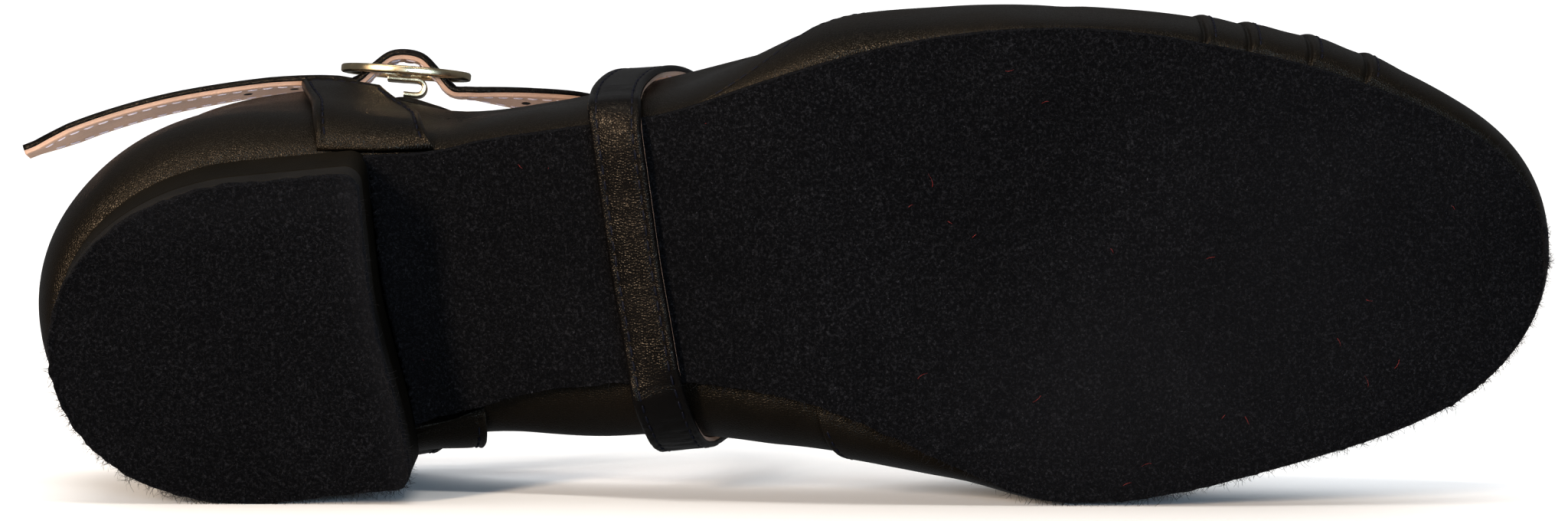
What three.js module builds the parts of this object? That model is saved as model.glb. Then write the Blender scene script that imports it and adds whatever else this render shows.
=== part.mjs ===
// A right foot ballroom dance shoe with a low block heel, lying on its medial side.
// Millimetres. The shoe is drawn in its own frame first: x from heel to toe, y to the
// medial side, z up from the plane that the heel pad and the ball stand on.
// A last step lays the whole shoe on the floor, where it rests on its heel pad, its ball
// and its medial quarter.
import * as THREE from 'three';
import { ConvexHull } from 'three/addons/math/ConvexHull.js';

// Driving sizes
const shoeLength = 253;
const ballWidth = 78.3;
const seatHeight = 23.4;
const toeSpring = 6;
const soleThickness = 3;
const upperWall = 1.5;
const vampStep = 1.0;
const tuckStep = 0.9;
const tuckLength = 7;
const collarHeight = 62;
const padThickness = 2.5;
const liftThickness = 6;
const heelTaper = 0.7;
const heelCorner = 3;
const insoleThickness = 2;
const insoleBack = 5;
const insolePlay = 0.4;
const tipHalf = 1.2;
const seam = 0.3;
const panelSeat = 0.8;
const strapSeat = 0.8;
const feltInset = 1.6;
const strapWidth = 9;
const strapThickness = 1.8;
const panelThickness = 1.4;
const frameLength = 23;
const frameWidth = 17;
const frameThickness = 1.5;
const frameRim = 1.8;
const barWidth = 1.6;
const hookWidth = 6;
const hookThickness = 0.9;
const hookCurl = 1.3;
const tabWidth = 8;
const tabThickness = 1.6;

// Mesh fineness
const upperRibs = 80;
const upperSteps = 14;
const heelPoints = 50;
const soleRows = 38;
const soleColumns = 4;

// The plan of the shoe where the upper meets the sole. at: share of shoeLength.
// half, centre: half width, and how far the middle lies to the medial side, both as
// shares of ballWidth, before the round ends close it.
const plan = [
  { at: 0.000, half: 0.354, centre: 0.000 },
  { at: 0.110, half: 0.354, centre: 0.000 },
  { at: 0.182, half: 0.348, centre: -0.006 },
  { at: 0.225, half: 0.300, centre: -0.042 },
  { at: 0.269, half: 0.283, centre: -0.058 },
  { at: 0.312, half: 0.278, centre: -0.082 },
  { at: 0.364, half: 0.279, centre: -0.099 },
  { at: 0.427, half: 0.292, centre: -0.107 },
  { at: 0.494, half: 0.346, centre: -0.110 },
  { at: 0.545, half: 0.403, centre: -0.089 },
  { at: 0.597, half: 0.464, centre: -0.050 },
  { at: 0.648, half: 0.508, centre: -0.012 },
  { at: 0.700, half: 0.513, centre: 0.004 },
  { at: 0.747, half: 0.502, centre: 0.014 },
  { at: 0.798, half: 0.484, centre: 0.025 },
  { at: 0.846, half: 0.475, centre: 0.036 },
  { at: 0.897, half: 0.471, centre: 0.054 },
  { at: 0.945, half: 0.477, centre: 0.067 },
  { at: 1.000, half: 0.490, centre: 0.066 },
];
const heelRound = { reach: 0.150, power: 2.05 };
const toeRound = { reach: 0.308, power: 2.15 };

// Ribs of the upper, from the sole up to the collar, going round from the back of the
// heel along the lateral side to the toe and home along the medial side.
// foot: share of shoeLength at the sole. bulge: how far the upper stands out past the
// sole. belly: height of the widest place over the sole. topX: share of shoeLength.
// topY: share of ballWidth. topZ: share of collarHeight. rise: length of the upright
// stretch over the widest place. fall: how far the surface drops before it turns down,
// both as shares of collarHeight. reach: where that drop ends, as a share of the way
// from the collar to the widest place. bulge and belly are shares of ballWidth.
const ribNames = ['foot', 'side', 'bulge', 'belly', 'topX', 'topY', 'topZ', 'rise', 'fall', 'reach'];
const ribs = [
  [0.000, -1, 0.052, 0.190, 0.010, 0.000, 1.000, 0.220, 0.200, 0.000],
  [0.030, -1, 0.073, 0.190, 0.030, -0.235, 1.010, 0.220, 0.200, 0.000],
  [0.090, -1, 0.086, 0.190, 0.092, -0.385, 1.000, 0.220, 0.200, 0.000],
  [0.170, -1, 0.070, 0.190, 0.176, -0.425, 0.980, 0.200, 0.200, 0.000],
  [0.235, -1, 0.044, 0.160, 0.232, -0.405, 0.860, 0.160, 0.140, 0.000],
  [0.285, -1, 0.028, 0.130, 0.285, -0.378, 0.700, 0.130, 0.120, 0.000],
  [0.350, -1, 0.024, 0.140, 0.350, -0.388, 0.640, 0.130, 0.120, 0.000],
  [0.410, -1, 0.022, 0.150, 0.422, -0.420, 0.590, 0.120, 0.110, 0.000],
  [0.470, -1, 0.022, 0.170, 0.486, -0.452, 0.590, 0.130, 0.090, 0.080],
  [0.540, -1, 0.042, 0.190, 0.526, -0.462, 0.670, 0.170, 0.060, 0.250],
  [0.620, -1, 0.017, 0.200, 0.552, -0.330, 0.790, 0.220, 0.080, 0.520],
  [0.710, -1, 0.005, 0.190, 0.569, -0.180, 0.870, 0.240, 0.150, 0.600],
  [0.800, -1, 0.019, 0.170, 0.578, -0.090, 0.885, 0.240, 0.240, 0.620],
  [0.880, -1, 0.030, 0.140, 0.582, -0.030, 0.890, 0.250, 0.290, 0.630],
  [0.950, -1, 0.022, 0.110, 0.585, 0.000, 0.890, 0.270, 0.330, 0.640],
  [1.000,  1, 0.010, 0.100, 0.586, 0.020, 0.890, 0.280, 0.340, 0.640],
  [0.950,  1, 0.012, 0.110, 0.587, 0.040, 0.890, 0.270, 0.320, 0.640],
  [0.880,  1, 0.016, 0.140, 0.589, 0.080, 0.885, 0.260, 0.280, 0.620],
  [0.800,  1, 0.018, 0.170, 0.592, 0.140, 0.875, 0.260, 0.210, 0.600],
  [0.710,  1, 0.016, 0.190, 0.590, 0.230, 0.830, 0.240, 0.130, 0.580],
  [0.620,  1, 0.028, 0.210, 0.580, 0.330, 0.750, 0.220, 0.070, 0.500],
  [0.545,  1, 0.104, 0.220, 0.556, 0.392, 0.620, 0.140, 0.050, 0.300],
  [0.490,  1, 0.146, 0.220, 0.518, 0.380, 0.540, 0.080, 0.050, 0.050],
  [0.430,  1, 0.150, 0.200, 0.440, 0.352, 0.540, 0.080, 0.070, 0.000],
  [0.350,  1, 0.149, 0.180, 0.350, 0.338, 0.600, 0.100, 0.100, 0.000],
  [0.285,  1, 0.104, 0.160, 0.285, 0.336, 0.700, 0.130, 0.120, 0.000],
  [0.235,  1, 0.070, 0.170, 0.232, 0.370, 0.860, 0.160, 0.140, 0.000],
  [0.170,  1, 0.040, 0.190, 0.180, 0.398, 0.970, 0.200, 0.200, 0.000],
  [0.090,  1, 0.040, 0.190, 0.096, 0.360, 0.990, 0.220, 0.200, 0.000],
  [0.030,  1, 0.052, 0.190, 0.034, 0.226, 1.010, 0.220, 0.200, 0.000],
].map((row) => Object.fromEntries(row.map((value, i) => [ribNames[i], value])));

// The vamp's folded edge on each side, at the sole and at the collar, and the four toe
// tucks on the lateral side, all as shares of shoeLength along the sole.
const vampEdge = {
  lateral: { foot: 0.4285, top: 0.472 },
  medial: { foot: 0.504, top: 0.600 },
};
const tucks = [{ at: 0.785 }, { at: 0.814 }, { at: 0.853 }, { at: 0.889 }];

// The side panels: edges as shares of shoeLength along the sole, for their foot and their
// top, low and high as shares of the rib, and off, how many panelSeats they stand off.
const panels = [
  {
    name: 'lateral_sling_panel', side: -1, low: 0.02, high: 0.985, off: 1.0,
    rearFoot: 0.188, frontFoot: 0.267, rearTop: 0.166, frontTop: 0.231,
  },
  {
    name: 'medial_sling_panel', side: 1, low: 0.02, high: 0.985, off: 1.5,
    rearFoot: 0.188, frontFoot: 0.282, rearTop: 0.166, frontTop: 0.240,
  },
];

const clamp = (value, low, high) => Math.min(high, Math.max(low, value));
const smooth = (value) => {
  const t = clamp(value, 0, 1);
  return t * t * (3 - 2 * t);
};

// A smooth function through a table's column. A round table repeats after period.
function column(rows, key, name, period = 0) {
  const list = rows.map((row) => [row[key], row[name]]);
  if (period > 0) {
    const head = list.slice(0, 2).map(([k, v]) => [k + period, v]);
    const tail = list.slice(-2).map(([k, v]) => [k - period, v]);
    list.unshift(...tail);
    list.push(...head);
  }
  const slope = list.map((point, i) => {
    const before = list[Math.max(i - 1, 0)];
    const after = list[Math.min(i + 1, list.length - 1)];
    return (after[1] - before[1]) / (after[0] - before[0]);
  });
  return (where) => {
    const x = clamp(where, list[0][0], list[list.length - 1][0]);
    let i = 0;
    while (i < list.length - 2 && x > list[i + 1][0]) i += 1;
    const [x0, y0] = list[i];
    const [x1, y1] = list[i + 1];
    const w = x1 - x0;
    const t = (x - x0) / w;
    return y0 * (1 + 2 * t) * (1 - t) ** 2 + slope[i] * w * t * (1 - t) ** 2
      + y1 * t * t * (3 - 2 * t) + slope[i + 1] * w * t * t * (t - 1);
  };
}

// How a round end closes: 0 at the end itself, 1 at its reach and beyond.
function closing(distance, round) {
  const share = clamp(distance / (round.reach * shoeLength), 0, 1);
  return (1 - (1 - share) ** round.power) ** (1 / round.power);
}

const planHalf = column(plan, 'at', 'half');
const planCentre = column(plan, 'at', 'centre');
const centreAt = (x) => planCentre(x / shoeLength) * ballWidth;
const halfAt = (x, inset = 0) => planHalf(x / shoeLength) * ballWidth
  * closing(x - inset, heelRound) * closing(shoeLength - inset - x, toeRound);

// The underside of the sole: down the waist to the flat tread, then up to the toe.
const waist = { start: 0.19, end: 0.534 };
const treadEnd = 0.725;
const treadHeight = seatHeight - soleThickness;
function soleBottom(x) {
  const share = x / shoeLength;
  const fallen = smooth((share - waist.start) / (waist.end - waist.start));
  const lifted = Math.max(0, (share - treadEnd) / (1 - treadEnd));
  return treadHeight * (1 - fallen) + toeSpring * lifted ** 2;
}
const soleTop = (x) => soleBottom(x) + soleThickness;

// Going round: 0 at the back of the heel, 0.5 at the toe, by the lateral side first.
const turnOf = (share, side) => {
  const half = Math.acos(clamp(1 - 2 * share, -1, 1)) / (2 * Math.PI);
  return side < 0 ? half : 1 - half;
};
const shareOf = (turn) => (1 - Math.cos(2 * Math.PI * turn)) / 2;
const sideOf = (turn) => (turn % 1 < 0.5 ? -1 : 1);

const ribRows = ribs.map((row) => ({ ...row, turn: turnOf(row.foot, row.side) % 1 }))
  .sort((a, b) => a.turn - b.turn);
const rib = {};
for (const name of ['bulge', 'belly', 'topX', 'topY', 'topZ', 'rise', 'fall', 'reach']) {
  rib[name] = column(ribRows, 'turn', name, 1);
}

// A point of the plan, set out sideways from the outline by grow.
function planPoint(turn, grow) {
  const x = shareOf(turn) * shoeLength;
  const at = new THREE.Vector2(x, centreAt(x) + sideOf(turn) * halfAt(x));
  const step = 0.002;
  const ahead = shareOf(turn + step) * shoeLength;
  const behind = shareOf(turn - step) * shoeLength;
  const along = new THREE.Vector2(
    ahead - behind,
    centreAt(ahead) + sideOf(turn + step) * halfAt(ahead)
      - centreAt(behind) - sideOf(turn - step + 1) * halfAt(behind),
  ).normalize();
  return at.add(new THREE.Vector2(along.y, -along.x).multiplyScalar(grow));
}

// The upper's surface before its overlays. t is 0 at the sole, bellyShare at the widest
// place, 1 at the collar, and a little past 1 it goes on straight.
const bellyShare = 0.26;
function basePoint(turn, t) {
  const around = ((turn % 1) + 1) % 1;
  const foot = planPoint(around, -feltInset);
  const footZ = soleTop(foot.x) + seam;
  const wide = planPoint(around, rib.bulge(around) * ballWidth);
  const wideZ = footZ + rib.belly(around) * ballWidth;
  if (t < bellyShare) {
    const angle = (t / bellyShare) * Math.PI / 2;
    const out = Math.sin(angle) ** 0.8;
    const up = 1 - Math.cos(angle);
    return new THREE.Vector3(
      foot.x + (wide.x - foot.x) * out,
      foot.y + (wide.y - foot.y) * out,
      footZ + (wideZ - footZ) * up,
    );
  }
  const top = new THREE.Vector3(rib.topX(around) * shoeLength, rib.topY(around) * ballWidth,
    rib.topZ(around) * collarHeight);
  const reach = rib.reach(around);
  const low = new THREE.Vector3(wide.x, wide.y, wideZ + rib.rise(around) * collarHeight);
  const high = new THREE.Vector3(
    top.x + (wide.x - top.x) * reach,
    top.y + (wide.y - top.y) * reach,
    top.z - rib.fall(around) * collarHeight,
  );
  const start = new THREE.Vector3(wide.x, wide.y, wideZ);
  const curve = new THREE.CubicBezierCurve3(start, low, high, top);
  const s = (t - bellyShare) / (1 - bellyShare);
  if (s <= 1) return curve.getPoint(s);
  const end = new THREE.Vector3().subVectors(top, high).normalize();
  return top.clone().addScaledVector(end, (s - 1) * curve.getLength());
}

// Outwards from the surface, and level where it meets the sole.
function baseNormal(turn, t) {
  const d = 0.004;
  const around = basePoint(turn + d, t).sub(basePoint(turn - d, t));
  const low = clamp(t - d, 0, 1.2);
  const upward = basePoint(turn, t + d).sub(basePoint(turn, low));
  const normal = new THREE.Vector3().crossVectors(around, upward).normalize();
  if (t >= bellyShare) return normal;
  const sideways = planPoint(turn, 1).sub(planPoint(turn, 0));
  const level = new THREE.Vector3(sideways.x, sideways.y, 0);
  return level.lerp(normal, smooth(t / bellyShare)).normalize();
}

// A point at a height over the base surface. The lowest row stays on the sole.
function overBase(turn, t, height) {
  const point = basePoint(turn, t).addScaledVector(baseNormal(turn, t), height);
  if (t === 0) point.z = soleTop(point.x) + seam;
  return point;
}

// How far the outside stands over the base surface: the vamp and its tucks.
const vampTurns = {
  lateral: turnOf(vampEdge.lateral.foot, -1),
  medial: turnOf(vampEdge.medial.foot, 1),
};
const tuckTurns = tucks.map((tuck) => turnOf(tuck.at, -1));
function overlay(turn, t) {
  let height = turn >= vampTurns.lateral && turn <= vampTurns.medial ? vampStep : 0;
  const fade = 1 - smooth((t - 0.55) / 0.25);
  const spread = tuckLength / shoeLength;
  for (const start of tuckTurns) {
    const run = (shareOf(turn) - shareOf(start)) / spread;
    if (turn > start && run >= 0 && run < 1 && sideOf(turn) < 0) height += tuckStep * (1 - run) * fade;
  }
  return height;
}

// The vamp's edges lean towards the toe, so the ribs next to them lean with them. rib is
// a rib's turn at the sole; the ribs at the ends of a span stay upright.
const leanSpans = [
  { from: 0.10, to: 0.33, edge: vampEdge.lateral, side: -1 },
  { from: 0.67, to: 0.90, edge: vampEdge.medial, side: 1 },
];
function leanTurn(ribTurn, t) {
  for (const { from, to, edge, side } of leanSpans) {
    if (ribTurn > from && ribTurn < to) {
      const low = turnOf(edge.foot, side);
      const high = turnOf(edge.foot + (edge.top - edge.foot) * t, side);
      if (ribTurn < low) return from + (ribTurn - from) * (high - from) / (low - from);
      return to + (ribTurn - to) * (high - to) / (low - to);
    }
  }
  return ribTurn;
}

// A closed mesh from rings of equal length: rings[i][j], closed along i when round.
function gridMesh(rings, flip) {
  const count = rings[0].length;
  const positions = rings.flat().flatMap((p) => [p.x, p.y, p.z]);
  const faces = [];
  for (let i = 0; i < rings.length; i += 1) {
    const next = (i + 1) % rings.length;
    for (let j = 0; j < count; j += 1) {
      const k = (j + 1) % count;
      const a = i * count + j;
      const b = next * count + j;
      const c = next * count + k;
      const d = i * count + k;
      if (flip) faces.push(a, b, c, a, c, d);
      else faces.push(a, c, b, a, d, c);
    }
  }
  const geometry = new THREE.BufferGeometry();
  geometry.setAttribute('position', new THREE.Float32BufferAttribute(positions, 3));
  geometry.setIndex(faces);
  return geometry;
}

// A closed mesh lofted through open sections, with a flat cap at each end.
function loftMesh(sections) {
  const count = sections[0].length;
  const positions = sections.flat().flatMap((p) => [p.x, p.y, p.z]);
  const faces = [];
  for (let i = 0; i < sections.length - 1; i += 1) {
    for (let j = 0; j < count; j += 1) {
      const k = (j + 1) % count;
      const a = i * count + j;
      const d = i * count + k;
      faces.push(a, d, a + count, d, d + count, a + count);
    }
  }
  for (const [ring, turned] of [[0, true], [sections.length - 1, false]]) {
    const middle = sections[ring].reduce((sum, p) => sum.add(p), new THREE.Vector3())
      .multiplyScalar(1 / count);
    const hub = positions.length / 3;
    positions.push(middle.x, middle.y, middle.z);
    for (let j = 0; j < count; j += 1) {
      const a = ring * count + j;
      const b = ring * count + ((j + 1) % count);
      if (turned) faces.push(hub, b, a);
      else faces.push(hub, a, b);
    }
  }
  const geometry = new THREE.BufferGeometry();
  geometry.setAttribute('position', new THREE.Float32BufferAttribute(positions, 3));
  geometry.setIndex(faces);
  return outward(geometry);
}

// Turns every face over if the mesh is inside out.
function outward(geometry) {
  const p = geometry.getAttribute('position');
  const index = geometry.getIndex().array;
  let volume = 0;
  const corner = [new THREE.Vector3(), new THREE.Vector3(), new THREE.Vector3()];
  for (let i = 0; i < index.length; i += 3) {
    corner.forEach((v, k) => v.fromBufferAttribute(p, index[i + k]));
    volume += corner[0].dot(corner[1].cross(corner[2]));
  }
  if (volume < 0) {
    const turned = Array.from(index);
    for (let i = 0; i < turned.length; i += 3) {
      [turned[i + 1], turned[i + 2]] = [turned[i + 2], turned[i + 1]];
    }
    geometry.setIndex(turned);
  }
  return geometry;
}

const finish = {
  leather: new THREE.MeshStandardMaterial({ color: 0x151317, roughness: 0.42 }),
  suede: new THREE.MeshStandardMaterial({ color: 0x1d1c20, roughness: 0.95 }),
  lining: new THREE.MeshStandardMaterial({ color: 0xb08a72, roughness: 0.7 }),
  lift: new THREE.MeshStandardMaterial({ color: 0x18161a, roughness: 0.6 }),
  metal: new THREE.MeshStandardMaterial({ color: 0xd8c39a, roughness: 0.25, metalness: 1 }),
};

const shoe = new THREE.Group();
function add(name, geometry, material) {
  const mesh = new THREE.Mesh(geometry, material);
  mesh.name = name;
  shoe.add(mesh);
  return mesh;
}

// Upper: outside up, collar, inside down, and the lower edge. Each folded edge has two
// ribs close together, so that it stays a sharp step.
function upperTurns() {
  const gap = 0.0008;
  const edges = [vampTurns.lateral, ...tuckTurns, vampTurns.medial];
  const turns = [];
  for (let i = 0; i < upperRibs; i += 1) {
    const turn = i / upperRibs;
    const nearest = Math.min(...edges.map((edge) => Math.abs(edge - turn)));
    if (nearest > 0.3 / upperRibs) turns.push(turn);
  }
  edges.forEach((edge) => turns.push(edge - gap, edge + gap));
  return turns.sort((a, b) => a - b);
}

function upperGeometry() {
  const rings = upperTurns().map((turn) => {
    const ring = [];
    for (let i = 0; i <= upperSteps; i += 1) {
      const t = i / upperSteps;
      ring.push(overBase(leanTurn(turn, t), t, overlay(turn, t)));
    }
    for (let i = upperSteps; i >= 0; i -= 1) {
      const t = i / upperSteps;
      ring.push(overBase(leanTurn(turn, t), t, -upperWall));
    }
    return ring;
  });
  return outward(gridMesh(rings, true));
}
add('upper', upperGeometry(), finish.leather);

// A side panel: a strip of the upper's own surface, set off by the seam.
function panelGeometry(panel) {
  const across = 6;
  const along = 12;
  const sections = [];
  for (let i = 0; i <= along; i += 1) {
    const up = i / along;
    const t = panel.low + (panel.high - panel.low) * up;
    const rear = panel.rearFoot + (panel.rearTop - panel.rearFoot) * up;
    const front = panel.frontFoot + (panel.frontTop - panel.frontFoot) * up;
    const outer = [];
    const inner = [];
    for (let j = 0; j <= across; j += 1) {
      const turn = turnOf(rear + (front - rear) * (j / across), panel.side);
      inner.push(overBase(turn, t, panel.off * panelSeat));
      outer.unshift(overBase(turn, t, panel.off * panelSeat + panelThickness));
    }
    sections.push([...inner, ...outer]);
  }
  return loftMesh(sections);
}
for (const panel of panels) add(panel.name, panelGeometry(panel), finish.leather);

// Heel: the seat outline, cut off by the breast, gets a little smaller going down.
const breast = { lateral: 0.222, medial: 0.236 };
function breastX(y) {
  const share = smooth((y / ballWidth + 0.1) / 0.4);
  return shoeLength * (breast.lateral + (breast.medial - breast.lateral) * share);
}
const heelSeat = { half: 0.355, back: 0.0012, reach: 0.134, power: 2.1 };
function heelRing(level, taper, count) {
  const ring = [];
  const half = heelSeat.half * ballWidth - taper;
  const back = heelSeat.back * shoeLength + taper;
  const reach = heelSeat.reach * shoeLength;
  const sidePoints = Math.round(count * 0.34);
  const frontPoints = count - 2 * sidePoints;
  const roundShare = 0.7;
  const sidePoint = (i, side) => {
    const share = i / sidePoints;
    if (share < roundShare) {
      const angle = (share / roundShare) * Math.PI / 2;
      return [back + reach * (1 - Math.cos(angle)), half * Math.sin(angle) ** (2 / heelSeat.power)];
    }
    const front = breastX(side * half) - taper - heelCorner;
    return [back + reach + (front - back - reach) * (share - roundShare) / (1 - roundShare), half];
  };
  const push = (x, y) => ring.push(new THREE.Vector3(x, y, level(x)));
  for (let i = 0; i < sidePoints; i += 1) {
    const [x, y] = sidePoint(i, 1);
    push(x, y);
  }
  for (let i = 0; i <= frontPoints; i += 1) {
    const y = half * Math.sin((1 - 2 * (i / frontPoints)) * Math.PI / 2);
    const near = clamp((Math.abs(y) - half + heelCorner) / heelCorner, 0, 1);
    push(breastX(y) - taper - heelCorner * (1 - Math.sqrt(1 - near * near)), y);
  }
  for (let i = sidePoints - 1; i > 0; i -= 1) {
    const [x, y] = sidePoint(i, -1);
    push(x, -y);
  }
  return ring;
}
function heelPiece(name, low, high, material) {
  const taper = (z) => heelTaper * (1 - z / seatHeight);
  const rings = [low, high].map((level) => heelRing(level, taper(level(0)), heelPoints));
  add(name, loftMesh(rings), material);
}
const liftLow = padThickness + seam;
const blockLow = liftLow + liftThickness + seam;
heelPiece('heel_pad', () => 0, () => padThickness, finish.suede);
heelPiece('heel_lift', () => liftLow, () => liftLow + liftThickness, finish.lift);
heelPiece('heel_block', () => blockLow, soleTop, finish.leather);

// A slab that follows the sole's bend, from a back line to a front line.
function slab({ startX, endX, inset, low, thickness, rows }) {
  const sections = [];
  for (let i = 0; i <= rows; i += 1) {
    const near = (1 - i / rows) ** 1.6;
    const x = endX + (startX(0) - endX) * near;
    const half = Math.max(tipHalf, halfAt(x, inset) - inset);
    const bottom = [];
    const top = [];
    for (let j = 0; j <= soleColumns; j += 1) {
      const y = centreAt(x) + half * (2 * (j / soleColumns) - 1);
      const px = x + (startX(y) - startX(0)) * near ** 4;
      bottom.push(new THREE.Vector3(px, y, low(px)));
      top.unshift(new THREE.Vector3(px, y, low(px) + thickness));
    }
    sections.push([...bottom, ...top]);
  }
  return loftMesh(sections);
}
add('outsole', slab({
  startX: (y) => breastX(y) + seam,
  endX: shoeLength - tipHalf / 8,
  inset: 0,
  low: soleBottom,
  thickness: soleThickness,
  rows: soleRows,
}), finish.suede);
add('insole', slab({
  startX: () => insoleBack,
  endX: shoeLength - insoleBack,
  inset: feltInset + upperWall + seam + insolePlay,
  low: (x) => soleTop(x) + seam,
  thickness: insoleThickness,
  rows: soleRows,
}), finish.lining);

// Where the buckle's plate lies, on the lateral side over the side panel. turn: how far
// its toe end turns to the medial side. lean: how far its top leans inwards. Degrees.
const buckleSeat = { at: 0.244, out: -0.436, up: 1.06, turn: 10, lean: 12 };
const buckle = new THREE.Vector3(buckleSeat.at * shoeLength, buckleSeat.out * ballWidth,
  buckleSeat.up * collarHeight);
const buckleTurn = THREE.MathUtils.degToRad(buckleSeat.turn);
const buckleLean = THREE.MathUtils.degToRad(buckleSeat.lean);
const buckleAlong = new THREE.Vector3(Math.cos(buckleTurn), Math.sin(buckleTurn), 0);
const buckleOut = new THREE.Vector3(
  Math.sin(buckleTurn) * Math.cos(buckleLean),
  -Math.cos(buckleTurn) * Math.cos(buckleLean),
  Math.sin(buckleLean),
);
const buckleUp = new THREE.Vector3().crossVectors(buckleAlong, buckleOut).negate();
const buckleSpot = (along, out, up = 0) => buckle.clone().addScaledVector(buckleAlong, along)
  .addScaledVector(buckleOut, out).addScaledVector(buckleUp, up);

// The long strap's way. at: share of shoeLength. out: share of ballWidth to the medial
// side. up: share of collarHeight. side and over: where its outer face looks.
const strapFromPanel = [
  { at: 0.200, out: 0.322, up: 0.90, side: 1.0, over: 0.0 },
  { at: 0.245, out: 0.322, up: 0.92, side: 1.0, over: 0.0 },
  { at: 0.290, out: 0.330, up: 0.98, side: 1.0, over: 0.2 },
  { at: 0.350, out: 0.300, up: 1.14, side: 0.8, over: 0.6 },
  { at: 0.402, out: 0.180, up: 1.29, side: 0.5, over: 0.9 },
  { at: 0.436, out: 0.020, up: 1.32, side: 0.0, over: 1.0 },
  { at: 0.446, out: -0.170, up: 1.22, side: -0.6, over: 0.8 },
  { at: 0.440, out: -0.322, up: 1.01, side: -0.85, over: 0.5 },
  { at: 0.424, out: -0.408, up: 0.78, side: -1.0, over: 0.2 },
  { at: 0.408, out: -0.437, up: 0.60, side: -1.0, over: 0.0 },
  { at: 0.397, out: -0.438, up: 0.42, side: -1.0, over: -0.1 },
  { at: 0.393, out: -0.432, up: 0.27, side: -1.0, over: -0.2 },
  { at: 0.392, out: -0.420, up: 0.127, side: -0.8, over: -0.7 },
];
const strapUnderSole = [
  { at: 0.392, out: -0.376 },
  { at: 0.394, out: -0.220 },
  { at: 0.396, out: -0.070 },
  { at: 0.399, out: 0.060 },
  { at: 0.401, out: 0.150 },
];
const strapToBuckle = [
  { at: 0.403, out: 0.212, up: 0.088, side: 0.3, over: -1.0 },
  { at: 0.408, out: 0.290, up: 0.165, side: 0.7, over: -0.7 },
  { at: 0.413, out: 0.345, up: 0.280, side: 1.0, over: -0.35 },
  { at: 0.420, out: 0.368, up: 0.400, side: 1.0, over: -0.1 },
  { at: 0.430, out: 0.372, up: 0.540, side: 1.0, over: 0.0 },
  { at: 0.447, out: 0.372, up: 0.72, side: 1.0, over: 0.0 },
  { at: 0.465, out: 0.350, up: 0.93, side: 0.9, over: 0.3 },
  { at: 0.474, out: 0.260, up: 1.18, side: 0.6, over: 0.8 },
  { at: 0.462, out: 0.080, up: 1.40, side: 0.2, over: 1.0 },
  { at: 0.440, out: -0.080, up: 1.40, side: -0.3, over: 1.0 },
  { at: 0.402, out: -0.230, up: 1.27, side: -0.7, over: 0.8 },
  { at: 0.360, out: -0.312, up: 1.15, side: -0.9, over: 0.55 },
  { at: 0.322, out: -0.351, up: 1.085, side: -1.0, over: 0.4 },
];
const strapTail = [
  { at: 0.150, out: -0.434, up: 1.06, side: -1.0, over: 0.35 },
  { at: 0.085, out: -0.420, up: 1.06, side: -1.0, over: 0.4 },
  { at: 0.031, out: -0.389, up: 1.06, side: -1.0, over: 0.4 },
  { at: -0.026, out: -0.338, up: 1.06, side: -1.0, over: 0.4 },
];

// Points and outer faces of a route's rows.
const routePoint = (row) => ({
  place: new THREE.Vector3(row.at * shoeLength, row.out * ballWidth, row.up * collarHeight),
  face: new THREE.Vector3(0, row.side, row.over),
});
const underSole = (row) => {
  const x = row.at * shoeLength;
  return {
    place: new THREE.Vector3(x, row.out * ballWidth, soleBottom(x) - strapSeat - strapThickness / 2),
    face: new THREE.Vector3(soleBottom(x + 1) - soleBottom(x), 0, -1),
  };
};
// Through the buckle: under its toe rim, over its bar and under its heel rim.
const strapPlay = 0.7;
function strapThroughBuckle() {
  const over = frameThickness / 2 + seam + strapThickness / 2 + strapPlay;
  const half = frameLength / 2;
  const way = [
    { along: 1.05, out: -over },
    { along: 0.74, out: -over },
    { along: 0.48, out: 0.1 },
    { along: 0.20, out: over },
    { along: -0.20, out: over },
    { along: -0.48, out: 0.1 },
    { along: -0.74, out: -over },
    { along: -1.05, out: -over },
  ];
  return way.map(({ along, out }) => ({ place: buckleSpot(along * half, out), face: buckleOut }));
}

// A flat strap swept along a route, with rolled edges. Its outer face looks along face.
function ribbon(route, width, thickness, steps, tipLength = 0) {
  const path = new THREE.CatmullRomCurve3(route.map((row) => row.place), false, 'centripetal');
  path.arcLengthDivisions = steps * 8;
  const total = path.getLength();
  const sections = [];
  for (let i = 0; i <= steps; i += 1) {
    const s = i / steps;
    const u = path.getUtoTmapping(s);
    const place = path.getPoint(u);
    const along = path.getTangent(u);
    const where = u * (route.length - 1);
    const k = Math.min(Math.floor(where), route.length - 2);
    const face = route[k].face.clone().lerp(route[k + 1].face, where - k);
    face.addScaledVector(along, -face.dot(along)).normalize();
    const wide = new THREE.Vector3().crossVectors(along, face);
    const tip = tipLength > 0 ? clamp((total * (1 - s)) / tipLength, 0.12, 1) : 1;
    const half = (width / 2) * tip ** 0.6;
    const h = thickness / 2;
    const roll = Math.min(h * 0.9, half / 2);
    const outline = [
      [-half, -h * 0.4], [-half + roll, -h], [half - roll, -h], [half, -h * 0.4],
      [half, h * 0.4], [half - roll, h], [-half + roll, h], [-half, h * 0.4],
    ];
    sections.push(outline.map(([a, b]) => place.clone().addScaledVector(wide, a)
      .addScaledVector(face, b)));
  }
  return loftMesh(sections);
}
const strapWay = [
  ...strapFromPanel.map(routePoint),
  ...strapUnderSole.map(underSole),
  ...strapToBuckle.map(routePoint),
  ...strapThroughBuckle(),
  ...strapTail.map(routePoint),
];
const tipCut = 9;
add('wrap_strap', ribbon(strapWay, strapWidth, strapThickness, 150, tipCut), finish.leather);

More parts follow.
